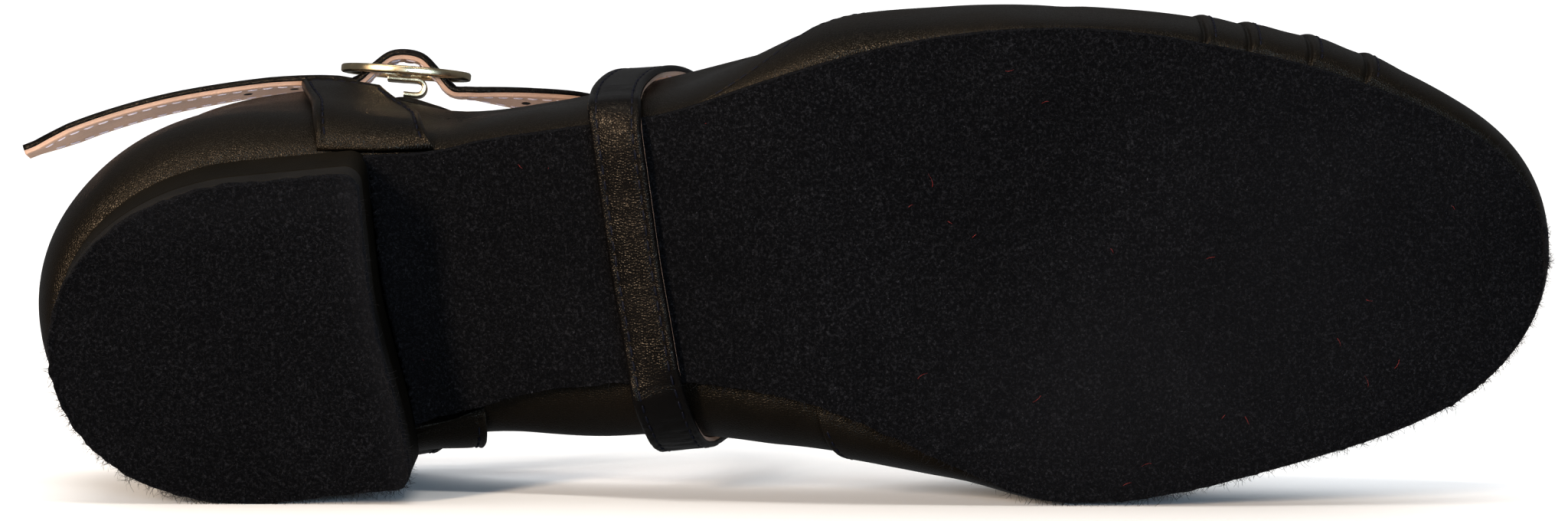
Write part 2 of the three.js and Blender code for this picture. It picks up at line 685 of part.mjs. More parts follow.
// Buckle frame: an oval plate with two windows either side of its centre bar.
function frameGeometry() {
  const plate = new THREE.Shape();
  plate.absellipse(0, 0, frameLength / 2, frameWidth / 2, 0, Math.PI * 2, false, 0);
  const inner = { x: frameLength / 2 - frameRim, y: frameWidth / 2 - frameRim };
  const start = Math.acos(barWidth / 2 / inner.x);
  const corners = 14;
  for (const side of [-1, 1]) {
    const window = new THREE.Path();
    for (let i = 0; i <= corners; i += 1) {
      const angle = -start + (2 * start * i) / corners;
      const x = side * inner.x * Math.cos(angle);
      const y = inner.y * Math.sin(angle);
      if (i === 0) window.moveTo(x, y);
      else window.lineTo(x, y);
    }
    window.closePath();
    plate.holes.push(window);
  }
  const geometry = new THREE.ExtrudeGeometry(plate, {
    depth: frameThickness, bevelEnabled: false, curveSegments: 28,
  });
  return geometry.translate(0, 0, -frameThickness / 2);
}
const frame = add('buckle_frame', frameGeometry(), finish.metal);
frame.position.copy(buckle);
const frameAxes = new THREE.Matrix4().makeBasis(buckleAlong, buckleUp, buckleOut);
frame.quaternion.setFromRotationMatrix(frameAxes);

// The hook: a strip that lies under the bar and curls back over the tab.
const hookDrop = frameThickness / 2 + seam + hookThickness / 2;
const hookRear = -0.13;
const hookFront = 0.10;
const hookLow = 3.2;
function hookRoute() {
  const front = hookFront * frameLength;
  const rear = hookRear * frameLength;
  const inwards = buckleOut.clone().negate();
  const point = (along, drop, face) => ({ place: buckleSpot(along, -drop, -hookLow), face });
  const way = [point(rear, hookDrop, buckleOut), point((rear + front) / 2, hookDrop, buckleOut)];
  const turns = 6;
  for (let i = 0; i <= turns; i += 1) {
    const angle = (i / turns) * Math.PI;
    const face = buckleAlong.clone().multiplyScalar(Math.sin(angle))
      .addScaledVector(buckleOut, Math.cos(angle));
    const drop = hookDrop + hookCurl * (1 - Math.cos(angle));
    way.push(point(front + hookCurl * Math.sin(angle), drop, face));
  }
  way.push(point(0, hookDrop + 2 * hookCurl, inwards));
  return way;
}
add('buckle_hook', ribbon(hookRoute(), hookWidth, hookThickness, 22), finish.metal);

// The tab: sewn inside the lateral quarter, it comes out in front of the side panel and
// goes on under the hook. along, in, up: from the buckle's middle, as shares of tabWidth.
const tabDrop = hookDrop + 2 * hookCurl + hookThickness / 2 + seam + tabThickness / 2;
const tabRows = [
  { along: -1.50, in: 0.50, up: -0.66, over: 0.1 },
  { along: -0.75, in: 0.24, up: -0.66, over: 0.15 },
  { along: 0.00, in: 0.00, up: -0.66, over: 0.2 },
  { along: 0.75, in: 0.14, up: -0.70, over: 0.25 },
  { along: 1.50, in: 0.36, up: -0.74, over: 0.3 },
];
const tabRoute = tabRows.map((row) => ({
  place: buckleSpot(row.along * tabWidth, -tabDrop - row.in * tabWidth, row.up * tabWidth),
  face: new THREE.Vector3(0, -1, row.over),
}));
add('tab_strap', ribbon(tabRoute, tabWidth, tabThickness, 20, tabWidth * 0.7), finish.leather);

// Lays the shoe down: the stable face of its hull that looks most to the medial side
// becomes the underside.
function layDown(group) {
  group.updateMatrixWorld(true);
  const points = [];
  const middle = new THREE.Vector3();
  let volume = 0;
  const a = new THREE.Vector3();
  const b = new THREE.Vector3();
  const c = new THREE.Vector3();
  group.traverse((mesh) => {
    if (!mesh.isMesh) return;
    const p = mesh.geometry.getAttribute('position');
    const index = mesh.geometry.getIndex();
    const count = index ? index.count : p.count;
    const at = (i) => (index ? index.getX(i) : i);
    for (let i = 0; i < count; i += 3) {
      [a, b, c].forEach((v, k) => v.fromBufferAttribute(p, at(i + k)).applyMatrix4(mesh.matrixWorld));
      const part = a.dot(new THREE.Vector3().crossVectors(b, c)) / 6;
      volume += part;
      middle.addScaledVector(a.clone().add(b).add(c), part / 4);
      points.push(a.clone(), b.clone(), c.clone());
    }
  });
  middle.multiplyScalar(1 / volume);
  const hull = new ConvexHull().setFromPoints(points);
  let best = null;
  for (const face of hull.faces) {
    const corners = [face.edge.head().point, face.edge.next.head().point, face.edge.prev.head().point];
    const foot = middle.clone().addScaledVector(face.normal, -face.distanceToPoint(middle));
    const plane = new THREE.Triangle(...corners);
    const held = plane.containsPoint(foot);
    if (held && (!best || face.normal.y > best.normal.y)) best = face;
  }
  const down = new THREE.Vector3(0, 0, -1);
  const side = new THREE.Quaternion().setFromAxisAngle(new THREE.Vector3(1, 0, 0), -Math.PI / 2);
  const normal = best.normal.clone().applyQuaternion(side);
  const settle = new THREE.Quaternion().setFromUnitVectors(normal, down);
  group.quaternion.copy(settle.multiply(side));
  group.updateMatrixWorld(true);
  const box = new THREE.Box3().setFromObject(group, true);
  group.position.set(-(box.min.x + box.max.x) / 2, -(box.min.y + box.max.y) / 2, -box.min.z);
}
layDown(shoe);

const part = new THREE.Group();
part.add(shoe);

export default part;
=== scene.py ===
"""A black leather ballroom dance shoe, the right one, lying on its medial side.

The shoe's own frame has x from heel to toe, y to the medial side and z up from the
ground that it is worn on, in millimetres. place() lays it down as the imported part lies.
"""
import math

import bpy
import numpy as np
from mathutils import Matrix, Vector


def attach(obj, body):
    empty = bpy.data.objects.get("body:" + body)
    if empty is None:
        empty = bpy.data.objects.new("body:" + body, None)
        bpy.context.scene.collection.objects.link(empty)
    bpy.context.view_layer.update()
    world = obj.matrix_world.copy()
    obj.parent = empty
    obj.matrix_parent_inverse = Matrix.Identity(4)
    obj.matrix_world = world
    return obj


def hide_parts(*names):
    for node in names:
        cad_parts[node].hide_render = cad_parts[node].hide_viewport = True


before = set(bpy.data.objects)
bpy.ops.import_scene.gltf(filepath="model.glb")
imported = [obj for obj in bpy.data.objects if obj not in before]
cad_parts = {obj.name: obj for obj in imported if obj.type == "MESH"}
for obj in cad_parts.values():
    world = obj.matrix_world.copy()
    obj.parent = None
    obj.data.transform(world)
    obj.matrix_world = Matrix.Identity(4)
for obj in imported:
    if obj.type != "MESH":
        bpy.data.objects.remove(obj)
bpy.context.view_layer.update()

rng = np.random.default_rng(7)

# The shoe's rest: turned about x, y and z in degrees, then moved, in millimetres.
REST_TURN = (-84.0939, -0.2907, -5.6312)
REST_MOVE = (-122.0391, -41.4774, 23.6103)

# Driving sizes, in millimetres
SHOE_LENGTH = 253
BALL_WIDTH = 78.3
SEAT_HEIGHT = 23.4
TOE_SPRING = 6
SOLE_THICKNESS = 3
UPPER_WALL = 1.5
VAMP_STEP = 1.0
TUCK_STEP = 0.65
TUCK_LENGTH = 7
COLLAR_HEIGHT = 62
PAD_THICKNESS = 2.5
LIFT_THICKNESS = 6
HEEL_TAPER = 0.7
HEEL_CORNER = 3
INSOLE_BACK = 5
INSOLE_PLAY = 0.4
INSOLE_THICKNESS = 2
SEAM = 0.3
PANEL_SEAT = 0.8
STRAP_SEAT = 0.8
FELT_INSET = 1.6
STRAP_WIDTH = 9
STRAP_THICKNESS = 1.8
PANEL_THICKNESS = 1.4
FRAME_LENGTH = 23
FRAME_WIDTH = 17
FRAME_THICKNESS = 1.5
FRAME_RIM = 1.8
BAR_WIDTH = 1.6
HOOK_WIDTH = 6
HOOK_THICKNESS = 0.9
HOOK_CURL = 1.3
HOOK_UP = -3.2
TAB_WIDTH = 8
TAB_THICKNESS = 1.6
VAMP_STITCH = 1.5
TUCK_STITCH = 1.6
PANEL_STITCH = 1.5
STRAP_STITCH = 1.45
STITCH_SINK = 0.06

# Share of the length, half width and middle of the sole, as shares of the ball's width
PLAN = [
    ("at", "half", "centre"),
    (0.000, 0.354, 0.000),
    (0.110, 0.354, 0.000),
    (0.182, 0.348, -0.006),
    (0.225, 0.300, -0.042),
    (0.269, 0.283, -0.058),
    (0.312, 0.278, -0.082),
    (0.364, 0.279, -0.099),
    (0.427, 0.292, -0.107),
    (0.494, 0.346, -0.110),
    (0.545, 0.403, -0.089),
    (0.597, 0.464, -0.050),
    (0.648, 0.508, -0.012),
    (0.700, 0.513, 0.004),
    (0.747, 0.502, 0.014),
    (0.798, 0.484, 0.025),
    (0.846, 0.475, 0.036),
    (0.897, 0.471, 0.054),
    (0.945, 0.477, 0.067),
    (1.000, 0.490, 0.066),
]
HEEL_ROUND = (0.150, 2.05)
TOE_ROUND = (0.308, 2.15)
WAIST_START = 0.19
TREAD_START = 0.534
TREAD_END = 0.725

# Ribs of the upper from the sole to the collar, round from the heel by the lateral side
RIBS = [
    ("foot", "side", "bulge", "belly", "topX", "topY", "topZ", "rise", "fall", "reach"),
    (0.000, -1, 0.052, 0.190, 0.010, 0.000, 1.000, 0.220, 0.200, 0.000),
    (0.030, -1, 0.073, 0.190, 0.030, -0.235, 1.010, 0.220, 0.200, 0.000),
    (0.090, -1, 0.086, 0.190, 0.092, -0.385, 1.000, 0.220, 0.200, 0.000),
    (0.170, -1, 0.070, 0.190, 0.176, -0.425, 0.980, 0.200, 0.200, 0.000),
    (0.235, -1, 0.044, 0.160, 0.232, -0.405, 0.860, 0.160, 0.140, 0.000),
    (0.285, -1, 0.028, 0.130, 0.285, -0.378, 0.700, 0.130, 0.120, 0.000),
    (0.350, -1, 0.024, 0.140, 0.350, -0.388, 0.640, 0.130, 0.120, 0.000),
    (0.410, -1, 0.022, 0.150, 0.422, -0.420, 0.590, 0.120, 0.110, 0.000),
    (0.470, -1, 0.022, 0.170, 0.486, -0.452, 0.590, 0.130, 0.090, 0.080),
    (0.540, -1, 0.042, 0.190, 0.526, -0.462, 0.670, 0.170, 0.060, 0.250),
    (0.620, -1, 0.017, 0.200, 0.552, -0.330, 0.790, 0.220, 0.080, 0.520),
    (0.710, -1, 0.005, 0.190, 0.569, -0.180, 0.870, 0.240, 0.150, 0.600),
    (0.800, -1, 0.019, 0.170, 0.578, -0.090, 0.885, 0.240, 0.240, 0.620),
    (0.880, -1, 0.030, 0.140, 0.582, -0.030, 0.890, 0.250, 0.290, 0.630),
    (0.950, -1, 0.022, 0.110, 0.585, 0.000, 0.890, 0.270, 0.330, 0.640),
    (1.000,  1, 0.010, 0.100, 0.586, 0.020, 0.890, 0.280, 0.340, 0.640),
    (0.950,  1, 0.012, 0.110, 0.587, 0.040, 0.890, 0.270, 0.320, 0.640),
    (0.880,  1, 0.016, 0.140, 0.589, 0.080, 0.885, 0.260, 0.280, 0.620),
    (0.800,  1, 0.018, 0.170, 0.592, 0.140, 0.875, 0.260, 0.210, 0.600),
    (0.710,  1, 0.016, 0.190, 0.590, 0.230, 0.830, 0.240, 0.130, 0.580),
    (0.620,  1, 0.028, 0.210, 0.580, 0.330, 0.750, 0.220, 0.070, 0.500),
    (0.545,  1, 0.104, 0.220, 0.556, 0.392, 0.620, 0.140, 0.050, 0.300),
    (0.490,  1, 0.146, 0.220, 0.518, 0.380, 0.540, 0.080, 0.050, 0.050),
    (0.430,  1, 0.150, 0.200, 0.440, 0.352, 0.540, 0.080, 0.070, 0.000),
    (0.350,  1, 0.149, 0.180, 0.350, 0.338, 0.600, 0.100, 0.100, 0.000),
    (0.285,  1, 0.104, 0.160, 0.285, 0.336, 0.700, 0.130, 0.120, 0.000),
    (0.235,  1, 0.070, 0.170, 0.232, 0.370, 0.860, 0.160, 0.140, 0.000),
    (0.170,  1, 0.040, 0.190, 0.180, 0.398, 0.970, 0.200, 0.200, 0.000),
    (0.090,  1, 0.040, 0.190, 0.096, 0.360, 0.990, 0.220, 0.200, 0.000),
    (0.030,  1, 0.052, 0.190, 0.034, 0.226, 1.010, 0.220, 0.200, 0.000),
]
BELLY_SHARE = 0.26

# The vamp's folded edges: shares of the length at the sole and at the collar
VAMP_EDGE = {"lateral": (0.4285, 0.600), "medial": (0.504, 0.600)}
TUCKS = (0.785, 0.814, 0.853, 0.889)


def smooth(value):
    """0 up to 0, 1 from 1 on, and an easy curve between."""
    t = np.clip(value, 0, 1)
    return t * t * (3 - 2 * t)


def table(rows):
    """Columns of a table by name, from rows under one row of names."""
    return {name: np.array([row[i] for row in rows[1:]], float) for i, name in enumerate(rows[0])}


def through(keys, values, period=0):
    """A smooth function through the points of a column, going round when it has a period."""
    order = np.argsort(keys)
    k, v = np.asarray(keys, float)[order], np.asarray(values, float)[order]
    if period:
        k = np.concatenate([k[-2:] - period, k, k[:2] + period])
        v = np.concatenate([v[-2:], v, v[:2]])
    ahead = np.minimum(np.arange(len(k)) + 1, len(k) - 1)
    behind = np.maximum(np.arange(len(k)) - 1, 0)
    slope = (v[ahead] - v[behind]) / (k[ahead] - k[behind])

    def at(where):
        x = np.clip(where, k[0], k[-1])
        i = np.clip(np.searchsorted(k, x, side="left") - 1, 0, len(k) - 2)
        w = k[i + 1] - k[i]
        t = (x - k[i]) / w
        return (v[i] * (1 + 2 * t) * (1 - t) ** 2 + slope[i] * w * t * (1 - t) ** 2
                + v[i + 1] * t * t * (3 - 2 * t) + slope[i + 1] * w * t * t * (t - 1))
    return at


plan = table(PLAN)
plan_half = through(plan["at"], plan["half"])
plan_centre = through(plan["at"], plan["centre"])


def closing(distance, round_end):
    """How a round end closes: 0 at the end, 1 from its reach on."""
    reach, power = round_end
    share = np.clip(distance / (reach * SHOE_LENGTH), 0, 1)
    return (1 - (1 - share) ** power) ** (1 / power)


def centre_at(x):
    return plan_centre(x / SHOE_LENGTH) * BALL_WIDTH


def half_at(x, inset=0):
    return (plan_half(x / SHOE_LENGTH) * BALL_WIDTH * closing(x - inset, HEEL_ROUND)
            * closing(SHOE_LENGTH - inset - x, TOE_ROUND))


def sole_bottom(x):
    """Underside of the sole: down the waist, along the flat tread, up to the toe."""
    share = x / SHOE_LENGTH
    fallen = smooth((share - WAIST_START) / (TREAD_START - WAIST_START))
    lifted = np.maximum(0, (share - TREAD_END) / (1 - TREAD_END))
    return (SEAT_HEIGHT - SOLE_THICKNESS) * (1 - fallen) + TOE_SPRING * lifted ** 2


def sole_top(x):
    return sole_bottom(x) + SOLE_THICKNESS


def turn_of(share, side):
    half = np.arccos(np.clip(1 - 2 * np.asarray(share, float), -1, 1)) / (2 * np.pi)
    return np.where(np.asarray(side) < 0, half, 1 - half)


def same_shape(turn, t):
    return np.broadcast_arrays(np.asarray(turn, float), np.asarray(t, float))


def raised(flat, z):
    """Points of a plan at their heights."""
    return np.concatenate([flat, z[..., None]], -1)


def share_of(turn):
    return (1 - np.cos(2 * np.pi * turn)) / 2


def side_of(turn):
    return np.where(np.mod(turn, 1) < 0.5, -1, 1)


ribs = table(RIBS)
rib_turns = np.mod(turn_of(ribs["foot"], ribs["side"]), 1)
rib = {name: through(rib_turns, ribs[name], 1) for name in RIBS[0][2:]}


def outline_xy(turn):
    x = share_of(turn) * SHOE_LENGTH
    return x, centre_at(x) + side_of(turn) * half_at(x)


def plan_point(turn, grow):
    """A point of the plan, set out sideways from the outline by grow."""
    step = 0.002
    x, y = outline_xy(turn)
    xa, ya = outline_xy(turn + step)
    xb, yb = outline_xy(turn - step)
    length = np.hypot(xa - xb, ya - yb)
    return np.stack([x + (ya - yb) / length * grow, y - (xa - xb) / length * grow], -1)


def base_point(turn, t):
    """The upper's surface before its overlays: t 0 at the sole, 1 at the collar."""
    turn, t = same_shape(turn, t)
    around = np.mod(turn, 1)
    foot = plan_point(around, -FELT_INSET)
    foot = raised(foot, sole_top(foot[..., 0]) + SEAM)
    wide = plan_point(around, rib["bulge"](around) * BALL_WIDTH)
    wide = raised(wide, foot[..., 2] + rib["belly"](around) * BALL_WIDTH)
    angle = np.clip(t / BELLY_SHARE, 0, 1) * np.pi / 2
    out = np.sin(angle) ** 0.8
    low_part = foot + (wide - foot) * np.stack([out, out, 1 - np.cos(angle)], -1)
    top = np.stack([rib["topX"](around) * SHOE_LENGTH, rib["topY"](around) * BALL_WIDTH,
                    rib["topZ"](around) * COLLAR_HEIGHT], -1)
    reach = rib["reach"](around)[..., None]
    low = raised(wide[..., :2], wide[..., 2] + rib["rise"](around) * COLLAR_HEIGHT)
    high = raised(top[..., :2] + (wide[..., :2] - top[..., :2]) * reach,
                  top[..., 2] - rib["fall"](around) * COLLAR_HEIGHT)
    c = np.clip((t - BELLY_SHARE) / (1 - BELLY_SHARE), 0, 1)[..., None]
    curve = wide * (1 - c) ** 3 + 3 * low * c * (1 - c) ** 2 + 3 * high * c * c * (1 - c) + top * c ** 3
    return np.where((t < BELLY_SHARE)[..., None], low_part, curve)


def unit(v):
    return v / np.maximum(np.linalg.norm(v, axis=-1, keepdims=True), 1e-9)


def base_normal(turn, t):
    """Outwards from the surface, and level where it meets the sole."""
    turn, t = same_shape(turn, t)
    d = 0.004
    around = base_point(turn + d, t) - base_point(turn - d, t)
    upward = base_point(turn, np.minimum(t + d, 1)) - base_point(turn, np.clip(t - d, 0, 1))
    normal = unit(np.cross(around, upward))
    sideways = plan_point(turn, 1.0) - plan_point(turn, 0.0)
    level = raised(sideways, 0 * t)
    blend = smooth(t / BELLY_SHARE)[..., None]
    return np.where((t < BELLY_SHARE)[..., None], unit(level * (1 - blend) + normal * blend), normal)


def over_base(turn, t, height):
    """A point at a height over the base surface; the lowest row stays on the sole."""
    turn, t = same_shape(turn, t)
    p = base_point(turn, t) + base_normal(turn, t) * np.asarray(height)[..., None]
    on_sole = t <= 0
    p[..., 2] = np.where(on_sole, sole_top(p[..., 0]) + SEAM, p[..., 2])
    return p


# Placing and mesh making

rest = (Matrix.Translation(Vector(REST_MOVE))
        @ Matrix.Rotation(math.radians(REST_TURN[0]), 4, "X")
        @ Matrix.Rotation(math.radians(REST_TURN[1]), 4, "Y")
        @ Matrix.Rotation(math.radians(REST_TURN[2]), 4, "Z"))
REST = np.array(rest)


def place(points):
    """Points of the shoe's frame in millimetres, laid on the floor, in metres."""
    p = np.asarray(points, float).reshape(-1, 3)
    return (p @ REST[:3, :3].T + REST[:3, 3]) / 1000


def make_piece(name, points, faces, materials, slots=None, node=None, slot=None):
    """A mesh object from points of the shoe's frame, riding on the part's one body."""
    mesh = bpy.data.meshes.new(name)
    mesh.from_pydata(place(points).tolist(), [], [list(map(int, f)) for f in faces])
    for material in materials:
        mesh.materials.append(material)
    if slots is not None:
        mesh.polygons.foreach_set("material_index", np.asarray(slots, np.int32))
    mesh.polygons.foreach_set("use_smooth", np.ones(len(faces), bool))
    mesh.update()
    piece = bpy.data.objects.new(name, mesh)
    bpy.context.scene.collection.objects.link(piece)
    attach(piece, "root")
    if node:
        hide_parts(node)
    return piece


def grid_faces(rows, columns, round_rows=False, round_columns=False):
    """Quads of a grid of points, stored row by row."""
    i = np.arange(rows if round_rows else rows - 1)
    j = np.arange(columns if round_columns else columns - 1)
    i, j = np.meshgrid(i, j, indexing="ij")
    k, m = (i + 1) % rows, (j + 1) % columns
    quads = np.stack([i * columns + j, k * columns + j, k * columns + m, i * columns + m], -1)
    return quads.reshape(-1, 4)


def tube_faces(count, rings, sides):
    """Faces of many closed tubes, whose points are stored tube by tube and ring by ring."""
    base = (np.arange(count) * rings * sides)[:, None]
    quads = grid_faces(rings, sides, False, True)[:, ::-1]
    around = np.arange(sides)
    return ((base[:, None] + quads).reshape(-1, 4).tolist() + (base + around[::-1]).tolist()
            + (base + (rings - 1) * sides + around).tolist())


def volume(points, faces):
    """Six times the volume inside faces of a like number of corners, positive when they look out."""
    p = np.asarray(points).reshape(-1, 3)
    total = 0.0
    for k in range(2, faces.shape[1]):
        total += np.einsum("ij,ij->i", p[faces[:, 0]], np.cross(p[faces[:, k - 1]], p[faces[:, k]])).sum()
    return total


def ring_mesh(sections):
    """A closed mesh through sections that come round to the first again."""
    rows, columns = sections.shape[:2]
    faces = grid_faces(rows, columns, True, True)
    return sections.reshape(-1, 3), faces if volume(sections, faces) > 0 else faces[:, ::-1]


def loft(sections):
    """A closed mesh through a stack of closed sections, with a middle point at each end."""
    s = np.asarray(sections)
    rows, columns = s.shape[:2]
    points = np.concatenate([s.reshape(-1, 3), s[:1].mean(1), s[-1:].mean(1)])
    quads = grid_faces(rows, columns, False, True)
    j = np.arange(columns)
    k = (j + 1) % columns
    low, high = np.full_like(j, rows * columns), np.full_like(j, rows * columns + 1)
    end = (rows - 1) * columns
    caps = np.stack([low, j, k, high, end + k, end + j], 1).reshape(-1, 3)
    if volume(points, quads) + volume(points, caps) < 0:
        quads, caps = quads[:, ::-1], caps[:, ::-1]
    return points, quads.tolist() + caps.tolist()


def run_along(line):
    """Millimetres run at each point of a line."""
    return np.concatenate([[0], np.cumsum(np.linalg.norm(np.diff(line, axis=0), axis=1))])


def edge_inset(up, thick, edge):
    """How far a side draws in at this share of its height, rounded over edge at both ends."""
    near = min(min(up, 1 - up) * thick / edge, 1)
    return edge * (1 - math.sqrt(1 - (1 - near) ** 2))


# Materials

def put(tree, node, inputs):
    """Give a node its inputs, which are values or other nodes' sockets."""
    for key, value in inputs.items():
        if isinstance(value, bpy.types.NodeSocket):
            tree.links.new(value, node.inputs[key])
        else:
            node.inputs[key].default_value = value


def node(tree, kind, inputs, **settings):
    """A shader node with its settings and its inputs."""
    new = tree.nodes.new(kind)
    for key, value in settings.items():
        setattr(new, key, value)
    put(tree, new, inputs)
    return new


def new_material(name):
    """A material with its tree, its shader and the place on the object in metres."""
    material = bpy.data.materials.new(name)
    material.use_nodes = True
    tree = material.node_tree
    tree.nodes.clear()
    shader = node(tree, "ShaderNodeBsdfPrincipled", {})
    node(tree, "ShaderNodeOutputMaterial", {"Surface": shader.outputs["BSDF"]})
    where = node(tree, "ShaderNodeTexCoord", {}).outputs["Object"]
    return material, tree, shader, where


def noise(tree, where, scale, detail=3, roughness=0.55, distortion=0):
    return node(tree, "ShaderNodeTexNoise", {
        "Vector": where, "Scale": scale, "Detail": detail, "Roughness": roughness,
        "Distortion": distortion}).outputs["Fac"]


def ramp(tree, value, *stops):
    """A colour ramp: stops are pairs of a place and a grey or a colour."""
    new = node(tree, "ShaderNodeValToRGB", {"Fac": value})
    elements = new.color_ramp.elements
    while len(elements) < len(stops):
        elements.new(0.5)
    for element, (spot, colour) in zip(elements, stops):
        element.position = spot
        grey = (colour,) * 3 if isinstance(colour, (int, float)) else colour
        element.color = (*grey, 1)
    return new.outputs["Color"]


def mix(tree, factor, first, second, blend="MIX"):
    """Two colours mixed. The first is a socket, the others are sockets or values."""
    if not isinstance(second, bpy.types.NodeSocket):
        second = (*second, 1)
    return node(tree, "ShaderNodeMix", {0: factor, 6: first, 7: second},
                data_type="RGBA", blend_type=blend).outputs[2]


def bump(tree, height, distance, strength, below=None):
    inputs = {"Height": height, "Distance": distance, "Strength": strength}
    if below is not None:
        inputs["Normal"] = below
    return node(tree, "ShaderNodeBump", inputs).outputs["Normal"]


def times(colour, factor):
    return tuple(c * factor for c in colour)


def leather(name, colour, rough=(0.26, 0.42), grain=2400, depth=0.00011, shine=0.16):
    """Smooth nappa: a fine pebble grain, faint folds and a soft uneven gloss."""
    material, tree, shader, where = new_material(name)
    cells = node(tree, "ShaderNodeTexVoronoi", {"Vector": where, "Scale": grain}, feature="DISTANCE_TO_EDGE")
    broad = noise(tree, where, 60, 4)
    pebble = ramp(tree, cells.outputs["Distance"], (0.0, 0.0), (0.25, 0.8), (0.6, 1.0))
    normal = bump(tree, pebble, depth, 0.55)
    normal = bump(tree, noise(tree, where, grain * 1.7), depth * 0.8, 0.5, normal)
    put(tree, shader, {
        "Base Color": ramp(tree, broad, (0.3, times(colour, 0.7)), (0.7, times(colour, 1.5))),
        "Normal": bump(tree, broad, 0.0006, 0.35, normal),
        "Roughness": ramp(tree, broad, (0.3, rough[0]), (0.7, rough[1])),
        "Specular IOR Level": shine,
        "Specular Tint": (1.0, 0.86, 0.68, 1),
    })
    return material


def suede(name, colour, fleck):
    """Napped suede: a rough speckled nap with lighter lint caught in it."""
    material, tree, shader, where = new_material(name)
    clumps = noise(tree, where, 2000, 4, 0.75, 0.4)
    base = ramp(tree, clumps, (0.30, times(colour, 0.35)), (0.52, colour), (0.74, fleck))
    lint = ramp(tree, noise(tree, where, 2200, 2, 0.9), (0.66, 0.0), (0.78, 1.0))
    base = mix(tree, lint, base, times(fleck, 2.2))
    worn = node(tree, "ShaderNodeAttribute", {}, attribute_name="worn").outputs["Fac"]
    base = mix(tree, worn, base, times(fleck, 0.65))
    shade = ramp(tree, noise(tree, where, 28, 4, 0.6), (0.3, 0.75), (0.7, 1.25))
    normal = bump(tree, clumps, 0.0004, 0.9)
    put(tree, shader, {
        "Base Color": mix(tree, 1.0, base, shade, "MULTIPLY"),
        "Normal": bump(tree, noise(tree, where, 3200, 4, 0.75), 0.00025, 0.8, normal),
        "Roughness": 0.95,
        "Specular IOR Level": 0.0,
        "Sheen Weight": 0.012,
        "Sheen Roughness": 0.6,
        "Sheen Tint": (0.75, 0.78, 0.9, 1),
    })
    return material


def lining(name, colour):
    """Nude lining leather: matt and cloudy, with pores."""
    material, tree, shader, where = new_material(name)
    put(tree, shader, {
        "Base Color": ramp(tree, noise(tree, where, 90, 4), (0.3, times(colour, 0.78)), (0.7, colour)),
        "Normal": bump(tree, noise(tree, where, 1400), 0.0002, 0.6),
        "Roughness": 0.62,
    })
    return material


def metal(name, colour, rough):
    """Light gold plate, faintly brushed and finger marked."""
    material, tree, shader, where = new_material(name)
    marks = noise(tree, where, 260, 4)
    put(tree, shader, {
        "Base Color": (*colour, 1),
        "Normal": bump(tree, marks, 0.00006, 0.4),
        "Roughness": ramp(tree, marks, (0.3, rough * 0.7), (0.75, rough * 1.8)),
        "Metallic": 1.0,
    })
    return material


def thread(name, colour):
    """Twisted sewing thread, and other small matt things."""
    material, tree, shader, where = new_material(name)
    twist = node(tree, "ShaderNodeTexWave", {"Vector": where, "Scale": 1500, "Distortion": 1.0})
    put(tree, shader, {
        "Base Color": (*colour, 1),
        "Normal": bump(tree, twist.outputs["Fac"], 0.00008, 0.6),
        "Roughness": 0.5,
        "Specular IOR Level": 0.1,
    })
    return material


BLACK = leather("upper_black", (0.0022, 0.0016, 0.0010))
HEEL_BLACK = leather("heel_black", (0.0036, 0.0030, 0.0021), (0.42, 0.58), 2400, 0.00003, 0.04)
LIFT_BLACK = leather("lift_black", (0.0075, 0.007, 0.0065), (0.5, 0.65), 1500, 0.00003, 0.03)
STRAP_BLACK = leather("strap_black", (0.0016, 0.0014, 0.0014), (0.18, 0.30), 2400, 0.00008, 0.12)
SUEDE = suede("sole_suede", (0.0016, 0.0016, 0.0018), (0.0140, 0.0140, 0.0158))
NUDE = lining("lining_nude", (0.44, 0.28, 0.20))
GOLD = metal("buckle_gold", (0.66, 0.54, 0.34), 0.24)
THREAD = thread("thread_black", (0.0032, 0.0036, 0.0075))
PALE_THREAD = thread("thread_pale", (0.62, 0.55, 0.60))
# Painted shade: the dark colour of the discs that stand for the shaded insides of the punched holes
HOLE_SHADE = thread("hole_painted_shade", (0.004, 0.0035, 0.003))
FIBRE = thread("fibre_dark", (0.0075, 0.0075, 0.0090))
LINT = thread("fibre_pale", (0.015, 0.015, 0.017))
RED_FIBRE = thread("fibre_red", (0.25, 0.03, 0.03))


# Routes and sweeps

# The long strap's way, in shares of length, ball width and collar height, and where its
# outer face looks: to the side and up
STRAP_FROM_PANEL = [
    (0.200, 0.322, 0.90, 1.0, 0.0),
    (0.245, 0.322, 0.92, 1.0, 0.0),
    (0.290, 0.330, 0.98, 1.0, 0.2),
    (0.350, 0.300, 1.14, 0.8, 0.6),
    (0.402, 0.180, 1.29, 0.5, 0.9),
    (0.436, 0.020, 1.32, 0.0, 1.0),
    (0.446, -0.170, 1.22, -0.6, 0.8),
    (0.440, -0.322, 1.01, -0.85, 0.5),
    (0.424, -0.408, 0.78, -1.0, 0.2),
    (0.408, -0.437, 0.60, -1.0, 0.0),
    (0.397, -0.438, 0.42, -1.0, -0.1),
    (0.393, -0.432, 0.27, -1.0, -0.2),
    (0.392, -0.420, 0.127, -0.8, -0.7),
]
STRAP_UNDER_SOLE = [
    (0.392, -0.376),
    (0.394, -0.220),
    (0.396, -0.070),
    (0.399, 0.060),
    (0.401, 0.150),
]
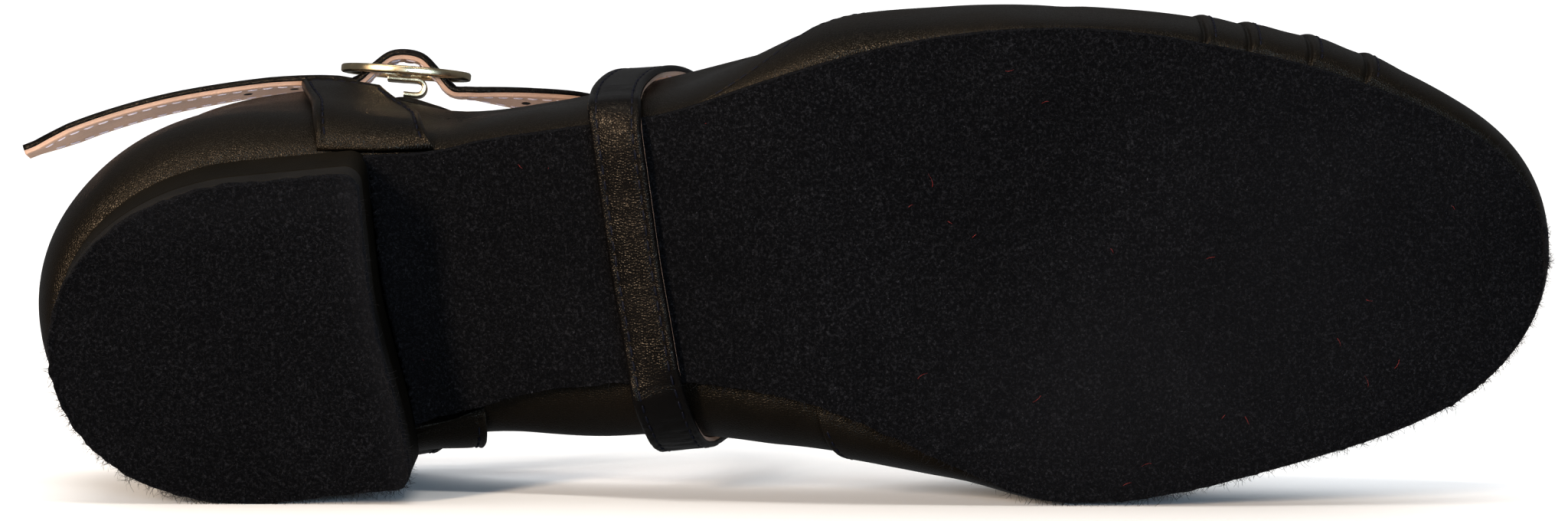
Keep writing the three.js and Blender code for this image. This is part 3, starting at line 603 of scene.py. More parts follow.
STRAP_TO_BUCKLE = [
    (0.403, 0.212, 0.088, 0.3, -1.0),
    (0.408, 0.290, 0.165, 0.7, -0.7),
    (0.413, 0.345, 0.280, 1.0, -0.35),
    (0.420, 0.368, 0.400, 1.0, -0.1),
    (0.430, 0.372, 0.540, 1.0, 0.0),
    (0.447, 0.372, 0.72, 1.0, 0.0),
    (0.465, 0.350, 0.93, 0.9, 0.3),
    (0.474, 0.260, 1.18, 0.6, 0.8),
    (0.462, 0.080, 1.40, 0.2, 1.0),
    (0.440, -0.080, 1.40, -0.3, 1.0),
    (0.402, -0.230, 1.27, -0.7, 0.8),
    (0.360, -0.312, 1.15, -0.9, 0.55),
    (0.322, -0.351, 1.085, -1.0, 0.4),
]
STRAP_TAIL = [
    (0.150, -0.434, 1.06, -1.0, 0.35),
    (0.085, -0.420, 1.06, -1.0, 0.4),
    (0.031, -0.389, 1.06, -1.0, 0.4),
    (-0.026, -0.338, 1.06, -1.0, 0.4),
]

BUCKLE_SEAT = (0.244, -0.436, 1.06)
BUCKLE_TURN = 10
BUCKLE_LEAN = 12
STRAP_PLAY = 0.7
STRAP_STEPS = 900

# Places between which the strap crinkles: on and off the sole, and past the medial bend
CRINKLE_SPOTS = [(99, -28, 9), (101.5, 13, 4), (107, 29, 28)]
# The punched holes, shown as discs of painted shade, in millimetres along the strap from the buckle
HOLE_RUNS = [-48, -40, -32, -24, 22, 30]

buckle = np.array(BUCKLE_SEAT) * (SHOE_LENGTH, BALL_WIDTH, COLLAR_HEIGHT)
turned, leant = math.radians(BUCKLE_TURN), math.radians(BUCKLE_LEAN)
buckle_along = np.array([math.cos(turned), math.sin(turned), 0])
buckle_out = np.array([math.sin(turned) * math.cos(leant), -math.cos(turned) * math.cos(leant),
                       math.sin(leant)])
buckle_up = -np.cross(buckle_along, buckle_out)


def buckle_spot(along, out, up=0.0):
    return buckle + buckle_along * along + buckle_out * out + buckle_up * up


def route_rows(rows):
    """Places and outer faces of a route's rows."""
    places = [(at * SHOE_LENGTH, out * BALL_WIDTH, up * COLLAR_HEIGHT) for at, out, up, _, _ in rows]
    faces = [(0, side, over) for _, _, _, side, over in rows]
    return places, faces


def under_sole_rows(rows):
    places, faces = [], []
    for at, out in rows:
        x = at * SHOE_LENGTH
        low = float(sole_bottom(x))
        places.append((x, out * BALL_WIDTH, low - STRAP_SEAT - STRAP_THICKNESS / 2))
        faces.append((float(sole_bottom(x + 1)) - low, 0, -1))
    return places, faces


def strap_through_buckle():
    over = FRAME_THICKNESS / 2 + SEAM + STRAP_THICKNESS / 2 + STRAP_PLAY
    half = FRAME_LENGTH / 2
    way = [(1.05, -over), (0.74, -over), (0.48, 0.1), (0.20, over),
           (-0.20, over), (-0.48, 0.1), (-0.74, -over), (-1.05, -over)]
    return [tuple(buckle_spot(a * half, o)) for a, o in way], [tuple(buckle_out)] * len(way)


def catmull(points, t):
    """Places on a centripetal curve through the points, for t from 0 to 1."""
    p = np.asarray(points, float)
    last = len(p) - 1
    spot = np.clip(t, 0, 1) * last
    k = np.minimum(spot.astype(int), last - 1)
    w = (spot - k)[:, None]
    ends = np.vstack([2 * p[0] - p[1], p, 2 * p[-1] - p[-2]])
    a, b, c, d = ends[k], ends[k + 1], ends[k + 2], ends[k + 3]
    d0, d1, d2 = (np.linalg.norm(v, axis=1)[:, None] ** 0.5 for v in (b - a, c - b, d - c))
    d0, d2 = np.where(d0 < 1e-4, d1, d0), np.where(d2 < 1e-4, d1, d2)
    t1 = ((b - a) / d0 - (c - a) / (d0 + d1) + (c - b) / d1) * d1
    t2 = ((c - b) / d1 - (d - b) / (d1 + d2) + (d - c) / d2) * d1
    return b + t1 * w + (-3 * b + 3 * c - 2 * t1 - t2) * w ** 2 + (2 * b - 2 * c + t1 + t2) * w ** 3


def follow(places, faces, steps):
    """Even steps along a route: places, directions across and out, and millimetres run."""
    t = np.linspace(0, 1, 60 * len(places))
    fine = catmull(places, t)
    run = run_along(fine)
    even = np.linspace(0, run[-1], steps + 1)
    u = np.interp(even, run, t)
    spot = catmull(places, u)
    step = 1e-4
    along = unit(catmull(places, np.minimum(u + step, 1)) - catmull(places, np.maximum(u - step, 0)))
    where = u * (len(places) - 1)
    k = np.minimum(where.astype(int), len(places) - 2)
    f = np.asarray(faces, float)
    out = f[k] + (f[k + 1] - f[k]) * (where - k)[:, None]
    out = unit(out - along * np.sum(out * along, axis=1, keepdims=True))
    return spot, np.cross(along, out), out, even


STITCH_RINGS = np.array([(-1.0, 0.35), (-0.72, 0.9), (0.0, 1.0), (0.72, 0.9), (1.0, 0.35)])


def corners_round(sides):
    """Cosines and sines of the corners of a small tube, as columns."""
    angle = 2 * np.pi * np.arange(sides) / sides
    return np.cos(angle)[:, None], np.sin(angle)[:, None]


def stitches(name, lines, material, length=1.7, gap=0.75, radius=0.2):
    """Sewing stitches along lines of (points, normals), as one mesh of small capsules."""
    share, wide = STITCH_RINGS.T
    cos, sin = corners_round(6)
    dip = -0.484 * radius * share ** 4
    capsules = []
    for points, normals in lines:
        run = run_along(points)
        pitch = length + gap
        for i in range(int(run[-1] / pitch)):
            ends = np.array([0, length]) + i * pitch + gap / 2
            a, b = (np.array([np.interp(e, run, points[:, k]) for k in range(3)]) for e in ends)
            n = unit(np.array([np.interp(ends.mean(), run, normals[:, k]) for k in range(3)]))
            axis = unit(b - a)
            n = unit(n - axis * (n @ axis))
            side = np.cross(axis, n)
            middle = (a + b) / 2 + n * (radius * 0.55 - STITCH_SINK)
            lean = axis + side * rng.normal(0, 0.03)
            centres = middle + lean * np.linalg.norm(b - a) / 2 * share[:, None] + n * dip[:, None]
            arms = (side * cos + n * sin) * radius
            capsules.append(centres[:, None] + arms * wide[:, None, None])
    faces = tube_faces(len(capsules), len(share), len(cos))
    return make_piece(name, np.array(capsules), faces, [material])


def fibres(name, roots, normals, material, length, radius, lift, spread=0.0):
    """Short curled hairs that start at roots and lean out of the surface, as one mesh."""
    n = len(roots)
    flat = unit(unit(np.cross(normals, rng.normal(size=(n, 3)))) + spread)
    size = rng.uniform(*length, (n, 1))
    bend = rng.normal(0, 0.9, (n, 1))
    side = np.cross(normals, flat)
    rise = rng.uniform(0.1, 1.0, (n, 1)) * lift
    path = []
    for s in np.linspace(0, 1, 4):
        path.append(roots + (flat * s + side * bend * s * s * 0.6) * size
                    + normals * (rise * size * s * (1.3 - s * 0.8)))
    path = np.stack(path, 1)[:, :, None]
    cos, sin = corners_round(3)
    thin = radius * np.array([1.0, 0.95, 0.8, 0.45])[:, None, None]
    arms = normals[:, None] * cos + side[:, None] * sin
    points = path + arms[:, None] * thin
    return make_piece(name, points, tube_faces(n, 4, 3), [material])


# Upper

vamp_turns = (float(turn_of(VAMP_EDGE["lateral"][0], -1)), float(turn_of(VAMP_EDGE["medial"][0], 1)))
tuck_turns = [float(turn_of(share, -1)) for share in TUCKS]


def mm_per_turn(turn):
    """Millimetres along the outline for one turn, near this place."""
    d = 0.001
    xa, ya = outline_xy(turn + d)
    xb, yb = outline_xy(turn - d)
    return np.hypot(xa - xb, ya - yb) / (2 * d)


def folded_step(run, fold=0.9):
    """Height of a folded edge against the distance past it: 0 before, 1 over the fold."""
    share = np.clip(run / fold, 0, 1)
    return np.sqrt(1 - (1 - share) ** 2)


def tuck_fade(t):
    """The tucks run out on their way up to the toe's top."""
    return 1 - smooth((t - 0.55) / 0.25)


def overlay(turn, t):
    """How far the outside stands over the base surface: the vamp and its tucks."""
    scale = mm_per_turn(turn)
    height = (VAMP_STEP * folded_step((turn - vamp_turns[0]) * scale)
              * folded_step((vamp_turns[1] - turn) * scale))
    fade = tuck_fade(t)
    for start in tuck_turns:
        run = (turn - start) * mm_per_turn(start)
        slope = np.clip(1 - run / TUCK_LENGTH, 0, 1)
        height = height + TUCK_STEP * folded_step(run, 0.7) * slope * fade
    return height


# Where the ribs lean: turns from and to, the vamp's edge, its side and how soon it leans
LEAN_SPANS = (
    (0.10, 0.33, "lateral", -1, 3),
    (0.67, 0.90, "medial", 1, 2),
)


def lean_turn(turn, t):
    """The ribs by the vamp's edges lean with them; turn is a rib's turn at the sole."""
    turn, t = same_shape(turn, t)
    result = turn.copy()
    for start, end, edge, side, power in LEAN_SPANS:
        foot, top = VAMP_EDGE[edge]
        low = float(turn_of(foot, side))
        way = 1 - (1 - t) ** power
        high = turn_of(foot + (top - foot) * way, side)
        before = start + (turn - start) * (high - start) / (low - start)
        after = end + (turn - end) * (high - end) / (low - end)
        leant = np.where(turn < low, before, after)
        result = np.where((turn > start) & (turn < end), leant, result)
    return result


# Millimetres past a folded edge at which the upper has a row of points
EDGE_ROWS = (-0.9, -0.45, -0.15, 0.0, 0.08, 0.2, 0.4, 0.65, 0.95, 1.1, 1.3, 1.5, 1.8)


def upper_turns(count=420):
    """Turns of the upper's rows: even ones, and close ones at each folded edge."""
    turns = list((np.arange(count) + 0.5) / count)
    for edge in (*vamp_turns, *tuck_turns):
        scale = float(mm_per_turn(edge)) * (1 if edge < 0.5 else -1)
        turns += [edge + mm / scale for mm in EDGE_ROWS]
    return np.unique(np.round(np.mod(turns, 1), 6))


# Soft folds of the upper: the fold's half width, its height outwards, negative where it
# is a valley, and the points of its line in the shoe's frame
FOLDS = [
    (5.0, 0.7, [(77, 22, 22), (92, 27, 20), (108, 30, 16)]),
    (1.6, -0.5, [(112, 26, 28), (116, 25, 20), (119, 23, 11)]),
    (1.3, -0.4, [(118, 27, 30), (121, 26, 22), (123, 23, 12)]),
    (1.4, 0.35, [(115, 26, 30), (119, 25, 21), (121, 23, 12)]),
    (3.5, 0.5, [(128, 27, 22), (140, 33, 18), (152, 37, 16)]),
    (2.2, -0.35, [(150, 32, 34), (164, 37, 30), (178, 38, 26)]),
    (2.5, -0.4, [(160, -30, 38), (168, -36, 30), (176, -39, 22)]),
    (2.5, 0.3, [(154, -30, 36), (161, -35, 29), (168, -38, 21)]),
    (3.0, -0.35, [(150, 10, 50), (156, -8, 50), (160, -22, 44)]),
    (4.0, 0.35, [(66, -21, 40), (80, -22, 36), (95, -24, 34)]),
]


def line_distance(points, line):
    """Distance of points from a line of straight stretches."""
    best = np.full(points.shape[:-1], 1e9)
    line = np.asarray(line, float)
    for a, b in zip(line[:-1], line[1:]):
        d = b - a
        s = np.clip(((points - a) @ d) / (d @ d), 0, 1)[..., None]
        best = np.minimum(best, np.linalg.norm(points - a - d * s, axis=-1))
    return best


def hollow(distance, width):
    """The rounded section of a fold or a channel: 1 in the middle, 0 well outside."""
    return np.exp(-(distance / width) ** 2)


def fold_relief(points):
    height = np.zeros(points.shape[:-1])
    for width, depth, line in FOLDS:
        height += depth * hollow(line_distance(points, line), width)
    return height


def stitch_channel(turn, t):
    """The channels beside the vamp's and tucks' folded edges and under their stitches."""
    channel = 0.0
    for edge, side in ((vamp_turns[0], 1), (vamp_turns[1], -1)):
        run = (turn - edge) * mm_per_turn(edge) * side
        channel = channel - 0.14 * hollow(run - VAMP_STITCH, 0.35) - 0.5 * hollow(run + 0.3, 0.35)
    for edge in tuck_turns:
        run = (turn - edge) * mm_per_turn(edge)
        tuck = 0.12 * hollow(run - TUCK_STITCH, 0.35) + 0.6 * hollow(run + 0.28, 0.32)
        channel = channel - tuck * tuck_fade(t)
    return channel


def outside(turn, t):
    """A point of the upper's outside."""
    return over_base(lean_turn(turn, t), t, overlay(turn, t) + stitch_channel(turn, t))


def build_upper():
    """The shell: its outside, a rounded lip at the collar, and its inside in the lining."""
    turns = upper_turns()[:, None]
    up = np.linspace(0, 1, 96)[None, :]
    outer = outside(turns, up)
    leant = lean_turn(turns, up)
    away = smooth(up / 0.06)
    outer = outer + base_normal(leant, up) * (fold_relief(outer) * away)[..., None]
    down = np.linspace(1, 0, 48)[None, :]
    inner = over_base(lean_turn(turns, down), down, np.full((len(turns), 48), -UPPER_WALL))
    middle = (outer[:, -1] + inner[:, 0]) / 2
    half = (outer[:, -1] - inner[:, 0]) / 2
    rise = unit(outer[:, -1] - outer[:, -3]) * np.linalg.norm(half, axis=1, keepdims=True) * 0.7
    angles = np.pi * np.arange(1, 7) / 7
    lip = np.stack([middle + half * math.cos(a) + rise * math.sin(a) for a in angles], 1)
    points, faces = ring_mesh(np.concatenate([outer, lip, inner], 1))
    columns = outer.shape[1] + lip.shape[1] + inner.shape[1]
    column = np.arange(len(faces)) % columns
    lined = (column >= outer.shape[1] + lip.shape[1] - 1) & (column < columns - 1)
    make_piece("upper_shell", points, faces, [BLACK, NUDE], lined, "upper", "upper_leather")


build_upper()


def seam_line(turn, offset, start, end, count=80):
    """A seam beside a folded edge: points and normals up the upper."""
    t = np.linspace(start, end, count)
    around = np.full(count, turn + offset / float(mm_per_turn(turn)))
    return outside(around, t), base_normal(lean_turn(around, t), t)


vamp_seams = [seam_line(vamp_turns[0], VAMP_STITCH, 0.05, 0.97),
              seam_line(vamp_turns[1], -VAMP_STITCH, 0.05, 0.97)]
stitches("vamp_stitches", vamp_seams, THREAD)
tuck_seams = [seam_line(turn, TUCK_STITCH, 0.06, 0.62) for turn in tuck_turns]
stitches("tuck_stitches", tuck_seams, THREAD, 1.3, 0.5)


# Side panels

# Name, side, height over the seat, then shares of the length: the rear and front edges at
# the sole, and at the collar
PANELS = [
    ("lateral_sling_panel", -1, 1.0, 0.188, 0.267, 0.166, 0.231),
    ("medial_sling_panel", 1, 1.5, 0.188, 0.282, 0.166, 0.240),
]
PANEL_LOW = 0.02
PANEL_HIGH = 0.985


def build_panel(name, side, off, rear_foot, front_foot, rear_top, front_top):
    """A folded leather panel that lies on the quarter, sewn close to its raised edges."""
    across = (1 - np.cos(np.linspace(0, np.pi, 56))) / 2
    up = 1 - (1 - np.linspace(0, 1, 90)) ** 1.3

    def spot(up, across, height):
        up, across = np.broadcast_arrays(up, across)
        t = PANEL_LOW + (PANEL_HIGH - PANEL_LOW) * up
        rear = rear_foot + (rear_top - rear_foot) * up
        front = front_foot + (front_top - front_foot) * up
        turn = turn_of(rear + (front - rear) * across, side)
        return over_base(turn, t, height), base_normal(turn, t)

    u, a = up[:, None], across[None, :]
    wide = SHOE_LENGTH * ((front_foot - rear_foot) * (1 - up) + (front_top - rear_top) * up)
    middle, _ = spot(up, 0.5, 0 * up)
    left = run_along(middle[::-1])[::-1]
    edge = np.minimum(np.minimum(a, 1 - a) * wide[:, None], left[:, None])
    roll = np.sqrt(1 - (1 - np.clip(edge / 0.8, 0, 1)) ** 2)
    bead = 0.18 * hollow(edge - 0.7, 0.4) - 0.2 * hollow(edge - PANEL_STITCH, 0.35)
    seat = off * PANEL_SEAT
    outer, _ = spot(u, a, seat + PANEL_THICKNESS * (0.35 + 0.65 * roll) + bead)
    inner, _ = spot(u, a, seat + 0 * edge)
    points, faces = loft(np.concatenate([inner, outer[:, ::-1]], 1))
    make_piece(name + "_folded", points, faces, [BLACK], None, name, "upper_leather")

    rows = np.linspace(0.03, 1 - PANEL_STITCH / left[0], 70)
    inset = PANEL_STITCH / np.interp(rows, up, wide)
    end = PANEL_STITCH / wide[-1]
    ways = [(rows, inset), (rows, 1 - inset), (np.full(40, rows[-1]), np.linspace(end, 1 - end, 40))]
    height = seat + PANEL_THICKNESS - 0.12
    stitches(name + "_stitches", [spot(u, a, np.full(len(u), height)) for u, a in ways], THREAD)


for row in PANELS:
    build_panel(*row)


# Straps

def strap_section(half, thick):
    """Across a strap: a black leather with rolled edges over a lining. Columns: across, out."""
    h = thick / 2
    inset = half - 0.22
    lining_side = [(inset * 0.5, -h), (inset - 0.1, -h), (inset, -h * 0.85), (inset, -h * 0.2)]
    edge = [(0.05, -0.15), (0, 0.2), (0.12, 0.62), (0.38, 0.92), (0.75, 1.04), (1.15, 0.93),
            (1.45, 0.80), (1.75, 0.92), (2.3, 1)]
    right = lining_side + [(half - inwards, h * up) for inwards, up in edge] + [(half * 0.25, h)]
    return np.array(right + [(-a, b) for a, b in reversed(right)]).T


def build_strap(name, places, faces, width, thick, steps, tip, crinkles=()):
    """A strap along its route, with stitches near both edges on both faces."""
    spot, wide, out, run = follow(places, faces, steps)
    share = np.clip((run[-1] - run) / tip, 0.25, 1)[:, None] ** 0.6
    across, up = strap_section(width / 2, thick)
    a = across * share
    crinkle = np.zeros_like(a)
    for start, end, pitch, depth in crinkles:
        for middle in np.arange(start, end, pitch):
            centre = middle + rng.normal(0, pitch * 0.4)
            slope, size = rng.normal(0, 0.35), rng.uniform(0.5, 1.0) * depth
            narrow = rng.uniform(0.25, 0.55) * pitch
            part = smooth((rng.uniform(0.6, 1.4) * width / 2 - np.abs(a - rng.uniform(-2, 2))) / 1.5)
            crinkle += size * hollow(run[:, None] - centre - slope * a, narrow) * part
    wave = 0.05 * np.sin(run / 7.0)[:, None] * np.abs(across) / (width / 2)
    b = up + wave + crinkle * (up > 0.3)
    points, faces = loft(spot[:, None] + wide[:, None] * a[..., None] + out[:, None] * b[..., None])
    count = len(across)
    face = np.arange(len(faces))
    column = face % count
    lined = ((column < 3) | (column >= count - 4)) & (face < count * (len(run) - 1))
    make_piece(name + "_lined", points, faces, [STRAP_BLACK, NUDE], lined, name, "upper_leather")

    seams, under = [], []
    keep = (run > 2) & (run < run[-1] - 2.5)
    for side in (-1, 1):
        line = spot + wide * side * (width / 2 * share - STRAP_STITCH)
        seams.append(((line + out * thick * 0.41)[keep], out[keep]))
        under.append(((line - out * thick * 0.5)[keep], -out[keep]))
    stitches(name + "_stitches", seams, THREAD, 1.9, 0.7)
    stitches(name + "_lining_stitches", under, PALE_THREAD, 1.9, 0.8, 0.17)
    return spot, wide, out, run


def strap_way():
    """Places and outer faces of the long strap's whole route."""
    places, faces = route_rows(STRAP_FROM_PANEL)
    for more in (under_sole_rows(STRAP_UNDER_SOLE), route_rows(STRAP_TO_BUCKLE), strap_through_buckle(),
                 route_rows(STRAP_TAIL)):
        places += more[0]
        faces += more[1]
    return places, faces


def painted_hole_shade(name, strap, at, thick, radius):
    """Round holes through a strap, not cut but shown as discs of painted shade just over both of its faces.
    """
    spot, wide, out, run = strap
    cos, sin = corners_round(16)
    discs = []
    for i in [int(np.argmin(np.abs(run - where))) for where in at]:
        along = np.cross(out[i], wide[i])
        for side in (-1, 1):
            centre = spot[i] + out[i] * side * (thick / 2 + 0.03)
            discs.append(centre + (wide[i] * cos + along * sin * side) * radius)
    faces = np.arange(16 * len(discs)).reshape(-1, 16)
    make_piece(name, np.array(discs), faces, [HOLE_SHADE])


way_places, way_faces = strap_way()
spots, _, _, run = follow(way_places, way_faces, STRAP_STEPS)


def run_near(target):
    """Millimetres run where the long strap comes nearest to a place."""
    return float(run[np.argmin(np.linalg.norm(spots - np.array(target), axis=1))])


sole_from, sole_to, bend_to = (run_near(spot) for spot in CRINKLE_SPOTS)
strap = build_strap("wrap_strap", way_places, way_faces, STRAP_WIDTH, STRAP_THICKNESS, STRAP_STEPS, 9, [
    (sole_from, sole_to, 1.6, 0.05),
    (sole_to, bend_to, 1.15, -0.13),
    (sole_from - 20, sole_from, 2.2, 0.05),
])
painted_hole_shade("strap_hole_shade", strap, [run_near(buckle) + off for off in HOLE_RUNS], STRAP_THICKNESS, 0.8)

# The tab's middle line from the buckle, as shares of its width, and how far it looks up
TAB_ROWS = [
    (-1.50, 0.50, -0.66, 0.1),
    (-0.75, 0.24, -0.66, 0.15),
    (0.00, 0.00, -0.66, 0.2),
    (0.75, 0.14, -0.70, 0.25),
    (1.50, 0.36, -0.74, 0.3),
]
HOOK_DROP = FRAME_THICKNESS / 2 + SEAM + HOOK_THICKNESS / 2
TAB_DROP = HOOK_DROP + 2 * HOOK_CURL + HOOK_THICKNESS / 2 + SEAM + TAB_THICKNESS / 2
tab_places = [buckle_spot(a * TAB_WIDTH, -TAB_DROP - b * TAB_WIDTH, c * TAB_WIDTH)
              for a, b, c, _ in TAB_ROWS]
tab = build_strap("tab_strap", tab_places, [(0, -1, over) for *_, over in TAB_ROWS],
                  TAB_WIDTH, TAB_THICKNESS, 80, TAB_WIDTH * 0.7)
painted_hole_shade("tab_eyelet_shade", tab, [tab[3][-1] - 7.5], TAB_THICKNESS, 0.9)


# Buckle

def swept(line, first, second, section):
    """A bar's sections along a line; first and second are the directions of its section."""
    a, b = section.T
    return line[:, None] + first[:, None] * a[None, :, None] + second[:, None] * b[None, :, None]


def rounded(wide, thick, corner, count=4):
    """Corners of a rectangle with rounded corners."""
    points = []
    for sx, sy, start in ((1, 1, 0), (-1, 1, 90), (-1, -1, 180), (1, -1, 270)):
        for i in range(count + 1):
            angle = math.radians(start + 90 * i / count)
            points.append((sx * (wide / 2 - corner) + corner * math.cos(angle),
                           sy * (thick / 2 - corner) + corner * math.sin(angle)))
    return np.array(points)


# The hook's front and rear from the bar, as shares of the frame's length
HOOK_FRONT = 0.10
HOOK_REAR = -0.13


def gold_piece(name, mesh, node):
    make_piece(name, *mesh, [GOLD], None, node, "buckle_metal")


def build_frame():
    """The oval rim and its centre bar."""
    angle = np.linspace(0, 2 * np.pi, 120, endpoint=False)[:, None]
    long, short = FRAME_LENGTH / 2 - FRAME_RIM / 2, FRAME_WIDTH / 2 - FRAME_RIM / 2
    line = buckle_spot(long * np.cos(angle), 0, short * np.sin(angle))
    away = unit(buckle_along * short * np.cos(angle) + buckle_up * long * np.sin(angle))
    section = rounded(FRAME_RIM, FRAME_THICKNESS, 0.45)
    gold_piece("frame_rim", ring_mesh(swept(line, away, buckle_out[None], section)), "buckle_frame")
    line = buckle_spot(0, 0, np.linspace(-short, short, 24)[:, None])
    section = rounded(BAR_WIDTH, FRAME_THICKNESS * 0.9, 0.5)
    bar = loft(swept(line, buckle_along[None], buckle_out[None], section))
    gold_piece("frame_bar", bar, "buckle_frame")


def build_hook():
    """A plate that starts behind the bar and curls back over the tab."""
    front, rear = HOOK_FRONT * FRAME_LENGTH, HOOK_REAR * FRAME_LENGTH
    places = [buckle_spot(rear, -HOOK_DROP, HOOK_UP), buckle_spot((rear + front) / 2, -HOOK_DROP, HOOK_UP)]
    faces = [buckle_out] * 2
    for turned in np.pi * np.arange(7) / 6:
        faces.append(buckle_along * math.sin(turned) + buckle_out * math.cos(turned))
        drop = HOOK_DROP + HOOK_CURL * (1 - math.cos(turned))
        places.append(buckle_spot(front + HOOK_CURL * math.sin(turned), -drop, HOOK_UP))
    places.append(buckle_spot(0, -HOOK_DROP - 2 * HOOK_CURL, HOOK_UP))
    faces.append(-buckle_out)
    spot, wide, out, _ = follow(places, faces, 90)
    section = rounded(HOOK_WIDTH, HOOK_THICKNESS, 0.3)
    gold_piece("hook_curl", loft(swept(spot, wide, out, section)), "buckle_hook")


build_frame()
build_hook()


# Heel

HEEL_HALF = 0.355
HEEL_BACK = 0.0012
HEEL_REACH = 0.134
HEEL_POWER = 2.1
BREAST_LATERAL = 0.222
BREAST_MEDIAL = 0.236


def breast_x(y):
    """The heel's front face, which slants across the shoe."""
    share = smooth((np.asarray(y) / BALL_WIDTH + 0.1) / 0.4)
    return SHOE_LENGTH * (BREAST_LATERAL + (BREAST_MEDIAL - BREAST_LATERAL) * share)


def breast_edge(y, half):
    """The heel's front edge, drawn back round its corners."""
    near = np.clip((np.abs(y) - half + HEEL_CORNER) / HEEL_CORNER, 0, 1)
    return breast_x(y) - HEEL_CORNER * (1 - np.sqrt(1 - near * near))


def sole_back(y):
    """The sole's back edge, close against the breast and round its corners."""
    return breast_edge(y, HEEL_HALF * BALL_WIDTH) + 0.1


def heel_outline(taper, side_count=80, front_count=70):
    """The heel's outline from its back by the medial side round to its back."""
    half = HEEL_HALF * BALL_WIDTH - taper
    back = HEEL_BACK * SHOE_LENGTH + taper
    reach = HEEL_REACH * SHOE_LENGTH
    share = np.arange(side_count) / side_count

    def side_points(side):
        angle = np.clip(share / 0.7, 0, 1) * np.pi / 2
        front = breast_x(side * half) - taper - HEEL_CORNER
        past = np.clip((share - 0.7) / 0.3, 0, 1)
        x = back + reach * (1 - np.cos(angle)) + (front - back - reach) * past
        return np.stack([x, side * half * np.sin(angle) ** (2 / HEEL_POWER)], 1)

    y = half * np.sin((1 - 2 * np.arange(front_count + 1) / front_count) * np.pi / 2)
    breast = np.stack([breast_edge(y, half) - taper, y], 1)
    return np.concatenate([side_points(1), breast, side_points(-1)[:0:-1]])


def heel_wall(low, high, rows, edge):
    """Rings of a heel piece from its underside to its top, with softened edges."""
    rings = []
    base, top = (heel_outline(HEEL_TAPER * (1 - level(0) / SEAT_HEIGHT)) for level in (low, high))
    middle = base.mean(0)
    for up in (1 - np.cos(np.linspace(0, np.pi, rows))) / 2:
        ring = base + (top - base) * up
        z = low(ring[:, 0]) + (high(ring[:, 0]) - low(ring[:, 0])) * up
        ring = ring + unit(middle - ring) * edge_inset(up, high(0) - low(0), edge)
        rings.append(raised(ring, z))
    return rings


def flat_level(z):
    return lambda x: z + 0 * np.asarray(x, float)


def lumps(shape, size):
    """Uneven heights over a grid: random ones, smoothed over a few cells."""
    values = rng.normal(size=shape)
    for axis in (0, 1):
        for _ in range(size):
            values = (np.roll(values, 1, axis) + values * 2 + np.roll(values, -1, axis)) / 4
    return values / values.std()


def heel_piece(name, rings, material, node, slot):
    points, faces = loft(rings)
    return make_piece(name, points, faces, [material], None, node, slot), points


def build_heel():
    """The block, the lift and the napped pad; gives the pad's face and wall for its fibres."""
    lift_low = PAD_THICKNESS + SEAM
    lift_high = lift_low + LIFT_THICKNESS
    block = heel_wall(flat_level(lift_high + SEAM), sole_top, 24, 0.5)
    heel_piece("heel_cover", block, HEEL_BLACK, "heel_block", "heel_cover")
    lift = heel_wall(flat_level(lift_low), flat_level(lift_high), 14, 0.35)
    heel_piece("lift_stack", lift, LIFT_BLACK, "heel_lift", "heel_lift")

    wall = np.array(heel_wall(flat_level(0.0), flat_level(PAD_THICKNESS), 9, 0.3))
    middle = wall[0].mean(0)
    scales = np.linspace(0, 1, 90)[1:] ** 0.8
    face = np.array([middle + (wall[0] - middle) * s for s in scales])
    arms = unit(wall[0][:, :2] - middle[:2])
    wall[:, :, :2] += arms * (lumps(wall.shape[:2], 1) * 0.13)[..., None]
    nap = lumps(face.shape[:2], 1) * 0.05 + lumps(face.shape[:2], 4) * 0.03
    face[:, :, 2] += np.abs(nap) * (1 - smooth((scales[:, None] - 0.97) / 0.03))
    pad, points = heel_piece("pad_nap", np.concatenate([face, wall[1:]]), SUEDE, "heel_pad", "sole_suede")
    front = breast_x(points[:, 1]) - points[:, 0]
    paint_worn(pad, 0.35 * hollow(front, 3.5) + 0.12 * hollow(points[:, 1] + 24, 4))
    return face, wall


def paint_worn(piece, values):
    """How worn and pale the nap is at each point, read by the suede."""
    attribute = piece.data.attributes.new("worn", "FLOAT", "POINT")
    attribute.data.foreach_set("value", np.clip(values, 0, 1).astype(np.float32))


pad_face, pad_wall = build_heel()


# Sole and insole

def slab_grid(rows, columns, start, end, inset, back_curve=None):
    """Places of a slab that follows the sole's outline, as x and y grids from back to toe."""
    near = ((1 - np.linspace(0, 1, rows)) ** 1.6)[:, None]
    x = end + (start - end) * near
    half = np.maximum(1.2, half_at(x, inset) - inset)
    y = centre_at(x) - half * np.cos(np.linspace(0, np.pi, columns))
    px = x + 0 * y
    if back_curve is not None:
        px = px + (back_curve(y) - start) * near ** 4
    return px, y


